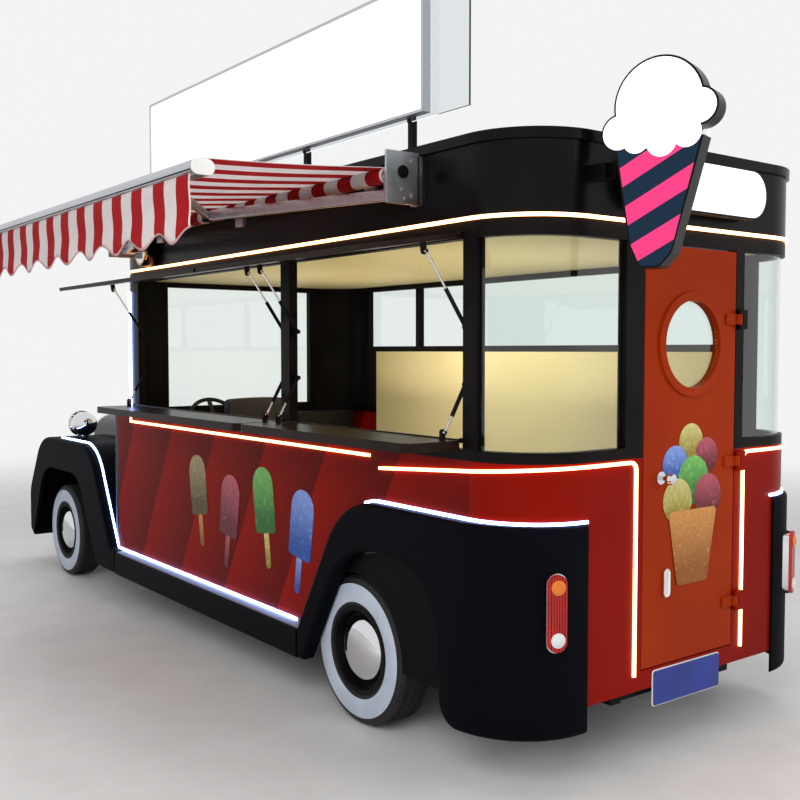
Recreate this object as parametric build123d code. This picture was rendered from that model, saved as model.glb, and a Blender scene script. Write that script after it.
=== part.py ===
from build123d import *
from math import atan, cos, degrees, hypot, radians, sin
import os

# Ice cream truck: a small bus-shaped truck with a serving side, a nose with pontoon fenders and an awning.
# Millimetres. While drawn, X runs forward from the rear wall, Y to the left from the centreline
# and Z up from the ground. At the end everything moves so that the origin is the middle of the footprint.

# Body. The upper half, from the belt up, has round corners in front too and is a little shorter.
half_width = 974
lower_length = 4200
upper_length = 4120
corner_radius = 335
nose_corner_radius = 60
wall = 30
frame_wall = 50
body_bottom = 345
floor_low = 400
floor_top = 430
belt_top = 1345
sill_top = 1390
header_bottom = 2253
header_top = 2331
parapet_top = 2670
parapet_wall = 40
rim_height = 42
rim_out = 14
roof_thick = 30
panel_front = 4099

# Window openings in the serving side, then in the far side above its rail, as X from rear to front
serving_bays = [(377, 1755), (1840, 3720)]
far_windows = [(377, 1060), (1100, 2440), (2480, 3080), (3120, 3720)]
far_rail_top = 1830
corner_post = 298
front_post = 3720
windscreen_half = 600
rear_glass_left = 406
rear_glass_right = -411
glass_thick = 6
glass_inset = 20

# Doorway in the rear wall, the door in it and its hinges
door_left = 288
door_right = -346
door_bottom = 434
door_top = 2246
door_gap = 6
door_thick = 34
porthole_y = -29
porthole_z = 1825
porthole_radius = 192
ring_radius = 230
hinge_x = -16
hinge_y = -358
hinge_heights = [640, 1290, 1940]
hinge_pin_radius = 5

# Wheels
tyre_radius = 361
bead_radius = 205
cap_radius = 160
wheel_y = 862
rear_axle_x = 1165
front_axle_x = 5266
kingpin_y = 742
kingpin_radius = 18
stub_radius = 30
running_clearance = 0.05

# Chassis
rail_y = 380
rail_width = 60
rail_bottom = 285
rail_top = 400
rail_front = 5700
cross_members = [90, 700, 1700, 2600, 3500, 4500, 5640]
tow_eye_x = 35
tow_eye_z = 323
tow_eye_radius = 20
tow_eye_thick = 24
spring_y = 470

# Fenders and running boards
fender_out = 70
fender_rear_out = 12
fender_radius = 380
fender_top = 1100
fender_bottom = 235
arch_top = 880
fender_sheet = 25
fender_edge = 24
fender_ends = (636, 661)
board_top = 398
board_ends = (1593, 4018)

# Nose: half widths of the hood at its rear and front end, and its heights there
hood_ends = (4200, 5690)
hood_half = (660, 560)
hood_top = (1300, 1250)
hood_low = 770
hood_sheet = 20
apron_y = (530, 550)
grille_thick = 45
grille_half = 400
grille_low = 420
grille_high = 1170
grille_bars = 9
grille_pitch = 80

# Serving side: hinge lines of the flaps and of the counter shelves
flap_hinge = (990, 2268)
flap_length = 500
flap_thick = 22
flap_droop = 9
shelf_hinge = (986, 1428)
shelf_length = 274
shelf_thick = 40
panel_spans = {"rear": (383, 1786), "front": (1811, 3768)}
barrel_radius = 8
panel_pin_radius = 4
lug_thick = 10

# Struts, each with the foot on the post as (y, z), the head from the panel's hinge as (along it, off it),
# the length of tube and of rod, and the X of the two on each panel
flap_strut = {"foot": (938, 1895), "head": (166, 46), "tube": 188, "rod": 193}
shelf_strut = {"foot": (938, 1657), "head": (62, 34), "tube": 148, "rod": 145}
strut_planes = {"rear": (402, 1730), "front": (1865, 3695)}
tube_radius = 9
rod_radius = 5
eye_radius = 8

# Awning
awning_ends = (745, 3646)
roller_y = 1080
roller_z = 2610
roller_radius = 30
front_bar = (1890, 2491)
front_bar_size = (100, 61)
cloth_ends = (850, 3541)
valance_low = 2215

# The cloth's underside and upper side from the roller over the front bar to the hem, as (y, z)
cloth_under = [(1080, 2641), (1912, 2524), (1935, 2516), (1943, 2496), (1943, valance_low)]
cloth_upper = [(1080, 2647), (1913, 2530), (1939, 2521), (1949, 2497), (1949, valance_low)]

# Inside: how thick the lining is, the worktop's inner edge and its height
lining_thick = 12
worktop_edge = 450
worktop_top = 1330

# Steering wheel: middle of its rim and how far its shaft leans back
steering_centre = (3760, 385, 1290)
shaft_tilt = 55

# Signs
sign_y = 850
sign_x = (743, 3657)
sign_z = (2830, 3440)
board_x = (481, 3700)
post_places = [900, 1800, 2700, 3500]

# Light strips: half their width, and where the belt strips turn down beside the door, as Y left and right
strip_half = 7
strip_out = 10
belt_strip_z = 1329
belt_strip_end = 955
strip_turns = (341, -414)

# Headlamps as X, Y, Z of their middle on the left, and the round lamps beside the parapet as X, Z
headlamp_centre = (5258, 800, 1208)
roof_lamp_centre = (3500, 2438)

# Tail lamps: how far round the fender's corner they sit, in degrees, and their middle height
lamp_angle = 21.7
lamp_z = 746

# Outlines of the black fenders in side view: corners as (x, z, radius)
rear_outline = [(-300, fender_bottom, 40), (-300, fender_top, 40), (1182, fender_top, 420),
                (board_ends[0], board_top - 10, 60), (board_ends[0], fender_bottom, 20), (1534, fender_bottom, 20),
                (1161, arch_top, 400), (500, arch_top, 320), (448, fender_bottom, 110)]
front_outline = [(board_ends[1], fender_bottom, 20), (board_ends[1], board_top, 1), (4105, board_top, 40),
                 (4496, fender_top, 350), (5600, fender_top, 330), (5900, 640, 220), (5900, 300, 40),
                 (5800, fender_bottom, 30)]
front_arch = [(4364, 100, 1), (4364, 235, 60), (4743, 865, 250), (5530, 865, 300), (5830, 235, 40), (5830, 100, 1)]


def plan(out, length):
    """The body's outline from above, grown outwards by out."""
    outline = RectangleRounded(length + 2 * out, 2 * (half_width + out), corner_radius + out)
    return Pos(length / 2, 0) * outline


def upper_slab(low, high, out=0):
    """The whole outline of the upper body between two heights."""
    return extrude(Pos(0, 0, low) * plan(out, upper_length), high - low)


def lower_slab(low, high, out=0):
    """The whole outline of the lower body, with squarer corners in front."""
    nose = Pos(lower_length * 3 / 4, 0) * RectangleRounded(
        lower_length / 2 + 2 * out, 2 * (half_width + out), nose_corner_radius + out)
    return extrude(Pos(0, 0, low) * (plan(out, lower_length) + nose), high - low)


def upper_band(low, high, thick, out=0):
    """A wall that follows the upper body's outline, its outer face grown by out."""
    return upper_slab(low, high, out) - upper_slab(low - 1, high + 1, out - thick)


def lower_band(low, high, thick, out=0):
    """A wall that follows the lower body's outline, its outer face grown by out."""
    return lower_slab(low, high, out) - lower_slab(low - 1, high + 1, out - thick)


def block(x, y, z):
    """A box between two values on each axis."""
    size = [max(pair) - min(pair) for pair in (x, y, z)]
    middle = [sum(pair) / 2 for pair in (x, y, z)]
    return Pos(*middle) * Box(*size)


def along_x(radius, x, y, z):
    """A round bar along X."""
    return Pos(sum(x) / 2, y, z) * Rot(0, 90, 0) * Cylinder(radius, abs(x[1] - x[0]))


def along_y(radius, x, y, z):
    """A round bar along Y."""
    return Pos(x, sum(y) / 2, z) * Rot(90, 0, 0) * Cylinder(radius, abs(y[1] - y[0]))


def along_z(radius, x, y, z):
    """A round bar along Z."""
    return Pos(x, y, sum(z) / 2) * Cylinder(radius, abs(z[1] - z[0]))


def beam(start, end, width, height):
    """A square-edged bar from one point to another."""
    run = Vector(*end) - Vector(*start)
    side = run.cross(Vector(0, 0, 1))
    plane = Plane(origin=start, x_dir=side, z_dir=run)
    return extrude(plane * Rectangle(width, height), run.length)


def side_shape(corners, y):
    """A plate with rounded corners in side view, between two values of Y. Corners are (x, z, radius)."""
    points = [(cx, y[0], cz) for cx, cz, _ in corners]
    radii = [radius for _, _, radius in corners]
    outline = make_face(FilletPolyline(*points, radius=radii, close=True))
    return extrude(outline, y[1] - y[0], dir=(0, 1, 0))


def rear_shape(corners, x):
    """A plate with rounded corners seen from behind, between two values of X. Corners are (y, z, radius)."""
    points = [(x[0], cy, cz) for cy, cz, _ in corners]
    radii = [radius for _, _, radius in corners]
    outline = make_face(FilletPolyline(*points, radius=radii, close=True))
    return extrude(outline, x[1] - x[0], dir=(1, 0, 0))


def across_shape(points, x):
    """A plate with straight edges seen from behind, between two values of X. Points are (y, z)."""
    outline = make_face(Polyline(*[(x[0], py, pz) for py, pz in points], close=True))
    return extrude(outline, x[1] - x[0], dir=(1, 0, 0))


def turned(points):
    """A ring turned about the Y axis. Points are (y, radius)."""
    outline = make_face(Polyline(*[(0, py, radius) for py, radius in points], close=True))
    return revolve(outline, Axis.Y)


def mirrored(shape):
    """The same piece on the right side."""
    return mirror(shape, Plane.XZ)


def joined(shapes):
    """One shape from pieces that overlap or touch."""
    total = shapes[0]
    for shape in shapes[1:]:
        total = total + shape
    return total


def together(shapes):
    """Pieces that stay apart as solids of one node."""
    solids = []
    for shape in shapes:
        solids += shape.solids()
    return Compound(solids)


def both(shape):
    """A piece and its mirror image in one node."""
    return together([shape, mirrored(shape)])


# Chassis

def chassis_frame():
    """Two rails with cross members, spring hangers and a tow eye for a drop pin."""
    rail = block((60, rail_front), (rail_y - rail_width / 2, rail_y + rail_width / 2), (rail_bottom, rail_top))
    for axle_x in (rear_axle_x, front_axle_x):
        for offset in (-410, 410):
            rail += block((axle_x + offset - 20, axle_x + offset + 20), (rail_y + 25, spring_y + 30), (291, 380))
    parts = [rail, mirrored(rail)]
    for x in cross_members:
        parts.append(block((x - 30, x + 30), (-rail_y - 1, rail_y + 1), (rail_bottom + 10, rail_top - 10)))
    high = (tow_eye_z - tow_eye_thick / 2, tow_eye_z + tow_eye_thick / 2)
    eye = block((tow_eye_x, 80), (-35, 35), high) + along_z(35, tow_eye_x, 0, high)
    hole = along_z(tow_eye_radius, tow_eye_x, 0, (high[0] - 1, high[1] + 1))
    return joined(parts) + (eye - hole)


def axles():
    """Dropped rear and front beams on leaf springs. The rear one ends in stub axles, the front in kingpin eyes."""
    parts = []
    for axle_x in (rear_axle_x, front_axle_x):
        beam_x = (axle_x - 35, axle_x + 35)
        shape = block(beam_x, (-1, 640), (205, 255)) + block(beam_x, (590, 640), (205, 391))
        if axle_x == rear_axle_x:
            shape += along_y(stub_radius, axle_x, (630, 900), tyre_radius)
        else:
            shape += block(beam_x, (630, kingpin_y), (335, 387))
            shape += along_z(35, axle_x, kingpin_y, (335, 387))
            shape -= along_z(kingpin_radius + running_clearance, axle_x, kingpin_y, (300, 420))
        for number, half in enumerate((430, 330, 220)):
            top = 291 - 12 * number
            shape += block((axle_x - half, axle_x + half), (spring_y - 30, spring_y + 30), (top - 12, top))
        parts.append(shape + mirrored(shape))
    return together(parts)


def knuckle():
    """Left steering knuckle: a fork round the beam's eye, with its kingpin and stub axle."""
    x = (front_axle_x - 32, front_axle_x + 32)
    shape = block(x, (kingpin_y, kingpin_y + 56), (395, 420)) + block(x, (kingpin_y, kingpin_y + 56), (302, 327))
    shape += along_z(32, front_axle_x, kingpin_y, (395, 420)) + along_z(32, front_axle_x, kingpin_y, (302, 327))
    shape += along_z(kingpin_radius, front_axle_x, kingpin_y, (302, 420))
    shape += block(x, (kingpin_y + 41, kingpin_y + 56), (302, 420))
    return shape + along_y(stub_radius, front_axle_x, (kingpin_y + 50, 900), tyre_radius)


def tyre():
    """A tyre about the Y axis, its outboard side at positive Y."""
    half = [(0, tyre_radius), (70, tyre_radius), (88, 350), (98, 320), (100, 262), (82, bead_radius)]
    other = [(-y, radius) for y, radius in reversed(half[1:])]
    return turned(half + other)


def rim():
    """Rim with its disc, hub and domed cap, about the Y axis."""
    barrel = turned([(-93, bead_radius + 8), (-93, 190), (93, 190), (93, bead_radius + 8), (87, bead_radius + 8),
                     (87, bead_radius), (-87, bead_radius), (-87, bead_radius + 8)])
    bore = stub_radius + running_clearance
    hub = turned([(-40, bore), (-40, 58), (30, 58), (30, 191), (42, 191), (42, bore)])
    cap = turned([(42, 50), (42, cap_radius), (50, cap_radius), (66, 140), (84, 108), (97, 64), (101, 20),
                  (101, 0), (55, 0), (55, 50)])
    return barrel + hub + cap


def wheel_piece(piece, x, right):
    """A tyre or rim moved to its place."""
    placed = Pos(x, wheel_y, tyre_radius) * piece
    if right:
        placed = mirrored(placed)
    return placed


def wheel_box(low, grow=0):
    """The sheet box inside the body that covers a rear wheel."""
    return block((740 - grow, 1600 + grow), (720 - grow, half_width - wall), (low, 800 + grow))


def floor_pan():
    """Floor plate with the two boxes over the rear wheels."""
    plate = lower_slab(floor_low, floor_top, -wall)
    box = wheel_box(floor_low, 4)
    room = wheel_box(floor_low - 1)
    plate = plate + box + mirrored(box)
    return plate - room - mirrored(room)


def battery_block():
    """The heavy pack under the floor, one plain block hung between the rails."""
    return block((1900, 3300), (-rail_y + rail_width / 2, rail_y - rail_width / 2), (220, 295))


# Body walls

def wheel_cut():
    """Room for a rear wheel in the panels beside it."""
    return along_y(tyre_radius + 19, rear_axle_x, (500, 1300), tyre_radius)


def doorway():
    """The opening in the rear wall."""
    return block((-100, 200), (door_right - door_gap, door_left + door_gap),
                 (door_bottom - door_gap, door_top + door_gap))


def side_panels():
    """The red panel of each long side, below the belt."""
    shape = lower_band(body_bottom, belt_top, wall)
    shape = shape & block((corner_radius, panel_front), (-1200, 1200), (0, 2000))
    return shape - wheel_cut() - mirrored(wheel_cut())


def hinge_leaf(height):
    """The fixed half of a door hinge: two knuckles with the pin between them, on a leaf."""
    shape = block((-26, 0), (hinge_y - 44, hinge_y), (height - 45, height + 45))
    shape -= block((-60, 60), (hinge_y - 12, hinge_y + 12), (height - 25, height + 25))
    for low in (height - 45, height + 25):
        shape += along_z(11, hinge_x, hinge_y, (low, low + 20))
    return shape + along_z(hinge_pin_radius, hinge_x, hinge_y, (height - 45, height + 45))


def rear_panels():
    """The red lower wall round the rear, with two of the door's hinge leaves."""
    shape = lower_band(body_bottom, belt_top, wall) & block((-100, corner_radius), (-1200, 1200), (0, 2000))
    shape -= doorway()
    for height in hinge_heights[:2]:
        shape += hinge_leaf(height)
    return shape


def cowl():
    """The black front of the lower body, with the ledge that carries the windscreen frame."""
    shape = lower_band(body_bottom, belt_top, wall) & block((panel_front, 5000), (-1200, 1200), (0, 2000))
    rails = rail_y + rail_width / 2 + 5
    shape -= block((panel_front, 5000), (-rails, rails), (0, rail_top + 5))
    ledge = lower_slab(belt_top - 20, belt_top, -wall) - upper_slab(belt_top - 21, belt_top + 1, -frame_wall)
    return shape + (ledge & block((panel_front - 600, 5000), (-1200, 1200), (0, 2000)))


def windows():
    """Boxes for all glazed openings."""
    high = (sill_top, header_bottom)
    far = (far_rail_top, header_bottom)
    boxes = [block((-100, corner_post), (rear_glass_left, 1200), high),
             block((-100, corner_post), (-1200, rear_glass_right), high),
             block((upper_length - 200, upper_length + 100), (-windscreen_half, windscreen_half), high)]
    for span in far_windows:
        boxes.append(block(span, (-1200, -700), far))
    return boxes


def frame():
    """The whole window band of the upper body."""
    shape = upper_band(belt_top, header_top, frame_wall)
    for box in windows():
        shape -= box
    for span in serving_bays:
        shape -= block(span, (700, 1200), (sill_top, header_bottom))
    return shape - doorway()


def strut_foot(x, spec, post):
    """A bracket on a post with the pin that a strut's tube turns on."""
    y, z = spec["foot"]
    plate = block((min(post, x), max(post, x)), (y - 8, y + 8), (z - 8, z + 8))
    side = 1 if x > post else -1
    plate -= block((x - side * 11, x + side * 20), (y - 20, y + 20), (z - 20, z + 20))
    return plate + along_x(5, (post, x + side * 11), y, z)


def lug(x, hinge, reach):
    """A fixed lug of a flap or shelf, with a bore for its pin."""
    y, z = hinge
    shape = block((x, x + lug_thick), (half_width, y), (z - reach, z + reach)) + along_x(
        reach, (x, x + lug_thick), y, z)
    return shape - along_x(panel_pin_radius + running_clearance, (x - 1, x + lug_thick + 1), y, z)


def left_frame():
    """The serving side's posts, sill and header, with the lugs and brackets of its flaps and shelves."""
    shape = frame() & block((corner_post, front_post + 160), (0, 1200), (0, 3000))
    for name, span in panel_spans.items():
        for x in (span[0] - lug_thick - 1, span[1] + 1):
            shape += lug(x, flap_hinge, 12)
            shape += lug(x, shelf_hinge, 10)
        bay = serving_bays[0] if name == "rear" else serving_bays[1]
        for x, post in zip(strut_planes[name], bay):
            shape += strut_foot(x, flap_strut, post) + strut_foot(x, shelf_strut, post)
    return shape


def right_frame():
    """The far side's posts, rail, sill and header."""
    return frame() & block((corner_post, front_post + 160), (-1200, 0), (0, 3000))


def end_frames():
    """The window frames round the rear and the front, with the top hinge leaf of the door."""
    whole = frame()
    rear = whole & block((-100, corner_post), (-1200, 1200), (0, 3000))
    front = whole & block((front_post + 160, 5000), (-1200, 1200), (0, 3000))
    rear += hinge_leaf(hinge_heights[2])
    return together([rear, front])


def panes():
    """All panes: the two bent ones of the rear corners first, then the flat ones."""
    skin = upper_band(sill_top, header_bottom, glass_thick, -glass_inset)
    return [skin & box for box in windows()]


def roof_deck():
    """The flat roof inside the parapet."""
    return upper_slab(header_top - roof_thick, header_top, -frame_wall)


def parapet():
    """The upright wall round the roof with its thicker rim."""
    low = parapet_top - rim_height
    return upper_band(header_top, low, parapet_wall) + upper_band(low, parapet_top, parapet_wall + rim_out, rim_out)


# Light strips

def belt_strip(turn):
    """The strip of one side, drawn on the left: it falls along the belt, and turns down beside the door."""
    tilt = Pos(0, 0, belt_strip_z) * Rot(0, degrees(atan(0.072)), 0) * Box(4000, 4000, 2 * strip_half)
    corner = half_width - corner_radius
    strip = lower_band(1200, 1340, strip_out, strip_out) & tilt & block(
        (-100, belt_strip_end), (corner, 1200), (1200, 1340))
    top = belt_strip_z + strip_half
    low = belt_strip_z - strip_half
    corners = [(corner, top, 1), (turn - strip_half, top, 42), (turn - strip_half, 413, 1), (turn + strip_half, 413, 1),
               (turn + strip_half, low, 28), (corner, low, 1)]
    return strip + rear_shape(corners, (-strip_out, 0))


def warm_lights():
    """Warm strips: the ring under the parapet, the belt lines that turn down beside the door, the counter line."""
    ring = upper_band(header_top - strip_half, header_top + strip_half, rim_out, rim_out)
    out = (half_width, half_width + strip_out)
    counter = block((1031, 3860), out, (1306, 1320)) + block((3850, 3860), out, (1306, 1345))
    return together([ring, belt_strip(strip_turns[0]), mirrored(belt_strip(-strip_turns[1])), counter])


def outline_strip(corners, x):
    """A strip that lies on a fender's outline beside the body, between two values of X."""
    points = [(cx, cz) for cx, cz, _ in corners]
    radii = [radius for _, _, radius in corners]
    outline = make_face(FilletPolyline(*points, radius=radii, close=True))
    ring = Plane.XZ * (offset(outline, 13) - offset(outline, 1))
    strip = extrude(Pos(0, half_width + strip_out, 0) * ring, strip_out)
    return strip & block(x, (0, 1200), (board_top + 1, 2000))


def cool_lights():
    """Cool white strips: on the running boards and fenders, and up the front post of the serving side."""
    board = block((1685, 4057), (half_width, half_width + strip_out), (board_top + 1, board_top + 13))
    board += outline_strip(front_outline, (4050, 5256))
    ledge = lower_band(fender_top + 1, fender_top + 13, strip_out, strip_out) & block(
        (-100, corner_radius + 1), (fender_ends[0], 1200), (0, 2000))
    ledge += outline_strip(rear_outline, (corner_radius, 1067))
    post = along_z(9, 3855, 976, (1411, 2197)) - upper_slab(1400, 2200)
    return together([both(board), both(ledge), post])


# Fenders and running boards

def fender_plan():
    """Both rear fenders' outline from above."""
    return Pos(-fender_rear_out + 2000, 0) * RectangleRounded(4000, 2 * (half_width + fender_out), fender_radius)


def rounded_rim(shape, above):
    """A fender with its outer top edge rounded, along the edges that reach above a height."""
    outer = half_width + fender_out - 1
    rim = []
    for edge in shape.edges():
        box = edge.bounding_box()
        behind = box.min.X < 0 and box.min.Z > fender_top - 1 and box.size.Y > 15
        if box.max.Z > above and (box.min.Y > outer or behind):
            rim.append(edge)
    return fillet(rim, fender_edge)


def rear_fender(end):
    """A rear fender that wraps the body's corner and ends flush beside the door."""
    shape = extrude(Pos(0, 0, fender_bottom) * fender_plan(), fender_top - fender_bottom)
    shape = rounded_rim(shape & side_shape(rear_outline, (end, 1200)), arch_top + 5)
    return shape - lower_slab(0, 2000)


def rear_fenders():
    """Both rear fenders."""
    return together([rear_fender(fender_ends[0]), mirrored(rear_fender(fender_ends[1]))])


def hood_volume(grow, start, end):
    """The hood as a tapered block with round shoulders."""
    sections = []
    for x in (start, end):
        share = (x - hood_ends[0]) / (hood_ends[1] - hood_ends[0])
        half = hood_half[0] + (hood_half[1] - hood_half[0]) * share + grow
        top = hood_top[0] + (hood_top[1] - hood_top[0]) * share + grow
        low = 300
        plane = Plane(origin=(x, 0, (top + low) / 2), x_dir=(0, 1, 0), z_dir=(1, 0, 0))
        sections.append(plane * RectangleRounded(2 * half, top - low, 170 + grow))
    return loft(sections, ruled=True)


def front_fenders():
    """The pontoon fenders over the front wheels, open below and towards the frame."""
    inner = apron_y[0]
    shape = rounded_rim(side_shape(front_outline, (inner, half_width + fender_out)), board_top + 1)
    shape -= side_shape(front_arch, (inner - 1, 1300))
    hollow = [(4400, 300, 60), (4640, 1070, 260), (5560, 1070, 290), (5870, 640, 190), (5870, 300, 20)]
    shape -= side_shape(hollow, (inner - 1, half_width + fender_out - fender_sheet))
    shape -= lower_slab(0, 2000)
    shape -= hood_volume(0.2, hood_ends[0] - 10, hood_ends[1] + 400)
    return both(shape)


def running_boards():
    """The steps between the fenders."""
    outer = half_width + fender_out
    corners = [(half_width, fender_bottom, 1), (outer, fender_bottom, 10), (outer, board_top - 12, fender_edge),
               (half_width, board_top, 1)]
    return both(rear_shape(corners, board_ends))


def hood():
    """The engine cover with the aprons that close its sides towards the wheels."""
    outer = hood_volume(0, *hood_ends)
    low_cut = block((4000, 6000), (-1000, 1000), (0, hood_low))
    shell = outer - hood_volume(-hood_sheet, hood_ends[0] - 5, hood_ends[1] + 5) - low_cut
    floor = (outer & block(hood_ends, (-1000, 1000), (hood_low, hood_low + 15)))
    floor -= block((4000, 6000), (-apron_y[0], apron_y[0]), (0, 2000))
    apron = block(hood_ends, apron_y, (rail_top, hood_low + 15))
    return shell + floor + apron + mirrored(apron)


def front_trim():
    """The shell round the radiator opening with its bars, and the bumper on two arms."""
    x = (hood_ends[1], hood_ends[1] + grille_thick)
    shape = hood_volume(0, *x) & block(x, (-1000, 1000), (grille_low, 2000))
    corners = [(-grille_half, grille_low + 50, 40), (grille_half, grille_low + 50, 40),
               (grille_half, grille_high, 110), (-grille_half, grille_high, 110)]
    shape -= rear_shape(corners, x)
    for number in range(grille_bars):
        y = grille_pitch * (number - (grille_bars - 1) / 2)
        shape += block((x[0] + 10, x[1] - 5), (y - 9, y + 9), (grille_low + 40, grille_high + 10))
    bumper = block((5925, 5960), (-940, 940), (330, 440))
    for side in (1, -1):
        bumper += block((rail_front, 5930), (side * (rail_y - 25), side * (rail_y + 25)), (330, 380))
    return together([shape, bumper])


# Lamps

def headlamp():
    """A bullet-shaped headlamp on a short stalk."""
    x, y, z = headlamp_centre
    shape = Pos(x - 20, y, z) * Sphere(95) & block((x - 200, x - 20), (0, 1200), (0, 2000))
    shape += along_x(95, (x - 20, x + 70), y, z) + along_x(101, (x + 50, x + 78), y, z)
    return shape + along_z(28, x, y, (fender_top, z - 60))


def front_lamps():
    """Both headlamps and the round lamps beside the parapet."""
    x, z = roof_lamp_centre
    roof = along_y(93, x, (half_width, half_width + 60), z) + along_y(83, x, (half_width + 60, half_width + 74), z)
    return together([both(headlamp()), both(roof)])


def tail_lamps():
    """The upright tail lamps with round ends, on the corners of the rear fenders."""
    angle = radians(lamp_angle)
    centre = (fender_radius - fender_rear_out, half_width + fender_out - fender_radius)
    reach = fender_radius + 42
    face = Plane(origin=(centre[0] - reach * cos(angle), centre[1] + reach * sin(angle), lamp_z),
                 x_dir=(0, 0, 1), z_dir=(cos(angle), -sin(angle), 0))
    lamp = extrude(face * SlotOverall(332, 110), 60)
    return both(lamp - extrude(fender_plan(), 2000))


def number_plate():
    """The blank plate under the door."""
    corners = [(-249, 262, 12), (214, 262, 12), (214, 412, 12), (-249, 412, 12)]
    return rear_shape(corners, (-8, 0))


# Door

def door():
    """The rear door with the ring round its window hole and the moving halves of its hinges."""
    shape = block((0, door_thick), (door_right, door_left), (door_bottom, door_top))
    shape += along_x(ring_radius, (-12, 0), porthole_y, porthole_z)
    shape -= along_x(porthole_radius, (-20, 100), porthole_y, porthole_z)
    for height in hinge_heights:
        leaf = block((-10, 0), (hinge_y + 12, hinge_y + 90), (height - 24, height + 24))
        leaf += block((-20, -2), (hinge_y, hinge_y + 20), (height - 20, height + 20))
        leaf += along_z(11, hinge_x, hinge_y, (height - 24, height + 24))
        shape += leaf - along_z(hinge_pin_radius + running_clearance, hinge_x, hinge_y, (height - 30, height + 30))
    return shape


def door_glass():
    """The round pane."""
    return along_x(porthole_radius, (14, 20), porthole_y, porthole_z)


def door_fittings():
    """The knob and the pull."""
    knob = Pos(0, 179, 1250) * Rot(0, 0, 90) * turned(
        [(0, 0), (0, 28), (8, 28), (8, 10), (36, 10), (44, 22), (58, 27), (74, 22), (82, 10), (84, 0)])
    face = Plane(origin=(0, 140, 790), x_dir=(0, 0, 1), z_dir=(-1, 0, 0))
    return together([knob, extrude(face * SlotOverall(125, 42), 14)])


# Flaps, shelves and their struts

def turned_panel(shape, hinge, angle):
    """A piece drawn with its hinge line through the origin, turned and moved to its hinge."""
    return Pos(0, hinge[0], hinge[1]) * Rot(angle, 0, 0) * shape


def ear(x, head, face):
    """The plate beside a strut's eye, from the panel's face to the head at (along, off) from the hinge."""
    along, off = head
    shape = block((x, x + 8), (along - 14, along + 14), (face, off)) + along_x(14, (x, x + 8), along, off)
    return shape + along_x(4, (x - 2, x), along, off)


def flap(name):
    """A top flap with its barrel, end pins and the ears of its struts, drooping a little."""
    x = panel_spans[name]
    shape = block(x, (0, flap_length), (-flap_thick / 2, flap_thick / 2)) + along_x(barrel_radius + 3, x, 0, 0)
    shape += along_x(panel_pin_radius, (x[0] - 1 - lug_thick, x[1] + 1 + lug_thick), 0, 0)
    for plane in strut_planes[name]:
        shape += ear(plane + 12, (flap_strut["head"][0], -flap_strut["head"][1]), -flap_thick / 2)
    return turned_panel(shape, flap_hinge, -flap_droop)


def shelf(name):
    """A counter shelf with rounded outer corners, its barrel, end pins and ears."""
    x = panel_spans[name]
    plate = extrude(Pos(sum(x) / 2, shelf_length / 2, -shelf_thick) * RectangleRounded(
        x[1] - x[0], shelf_length, 45), shelf_thick)
    plate += block(x, (0, 60), (-shelf_thick, 0))
    shape = plate + along_x(6, x, 0, 0)
    shape += along_x(panel_pin_radius, (x[0] - 1 - lug_thick, x[1] + 1 + lug_thick), 0, 0)
    for plane in strut_planes[name]:
        shape += ear(plane + 12, shelf_strut["head"], -5)
    return turned_panel(shape, shelf_hinge, 0)


def strut_line(spec, hinge, rest, side):
    """Foot and eye of a strut at rest, as (y, z) each, and the line's length."""
    along, off = spec["head"]
    angle = radians(rest)
    eye = (hinge[0] + along * cos(angle) - side * off * sin(angle),
           hinge[1] + along * sin(angle) + side * off * cos(angle))
    foot = spec["foot"]
    return foot, eye, hypot(eye[0] - foot[0], eye[1] - foot[1])


def strut_parts(spec, hinge, rest, side, x):
    """Tube and rod of one strut, drawn along Z from the foot and then laid along the strut's line."""
    foot, eye, length = strut_line(spec, hinge, rest, side)
    tube = along_z(tube_radius, 0, 0, (8, spec["tube"])) + along_x(11, (-10, 10), 0, 0)
    tube -= along_z(rod_radius + running_clearance, 0, 0, (14, spec["tube"] + 1))
    tube -= along_x(5 + running_clearance, (-12, 12), 0, 0)
    rod = along_z(rod_radius, 0, 0, (length - spec["rod"], length)) + along_x(eye_radius, (-6, 6), 0, length)
    rod -= along_x(4 + running_clearance, (-10, 10), 0, length)
    run = Vector(0, eye[0] - foot[0], eye[1] - foot[1])
    place = Plane(origin=(x, *foot), x_dir=(1, 0, 0), z_dir=run)
    return place * tube, place * rod


def struts(spec, hinge, rest, side, name, number):
    """The two tubes (number 0) or the two rods (number 1) of a panel."""
    return together([strut_parts(spec, hinge, rest, side, x)[number] for x in strut_planes[name]])


# Awning

def awning_frame():
    """Roller, square bar, end plates, folding arms and front bar."""
    rear, front = awning_ends
    shape = along_x(roller_radius, (rear, front), roller_y, roller_z)
    shape += block((rear, front), (1041, 1079), (2535, 2573))
    for x in (rear - 12, front):
        shape += block((x, x + 12), (992, 1120), (2422, 2650))
    for x in (rear - 52, front):
        shape += block((x, x + 52), (half_width + rim_out, 1000), (2422, 2650))
    for x in (1000, 2245, 3300):
        shape += block((x - 40, x + 40), (half_width + rim_out, 1045), (2540, 2568))
        shape += block((x - 40, x + 40), (half_width, half_width + rim_out + 8), (2480, 2620))
    bar_y, bar_z = front_bar
    section = Plane(origin=(cloth_ends[0] - 5, bar_y, bar_z), x_dir=(0, 1, 0), z_dir=(1, 0, 0))
    shape += extrude(section * RectangleRounded(*front_bar_size, 30), cloth_ends[1] - cloth_ends[0] + 10)
    for shoulder, elbow in ((1250, 1615), (3150, 2785)):
        joint = (elbow, 1480, 2505)
        shape += beam((shoulder, 1070, 2550), joint, 26, 42) + beam(joint, (shoulder, bar_y - 30, bar_z), 26, 36)
        shape += along_z(26, elbow, 1480, (2480, 2530))
    return shape


def awning_cloth():
    """The cloth from the roller over the front bar, with the hanging valance."""
    return across_shape(cloth_under + cloth_upper[::-1], cloth_ends)


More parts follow.
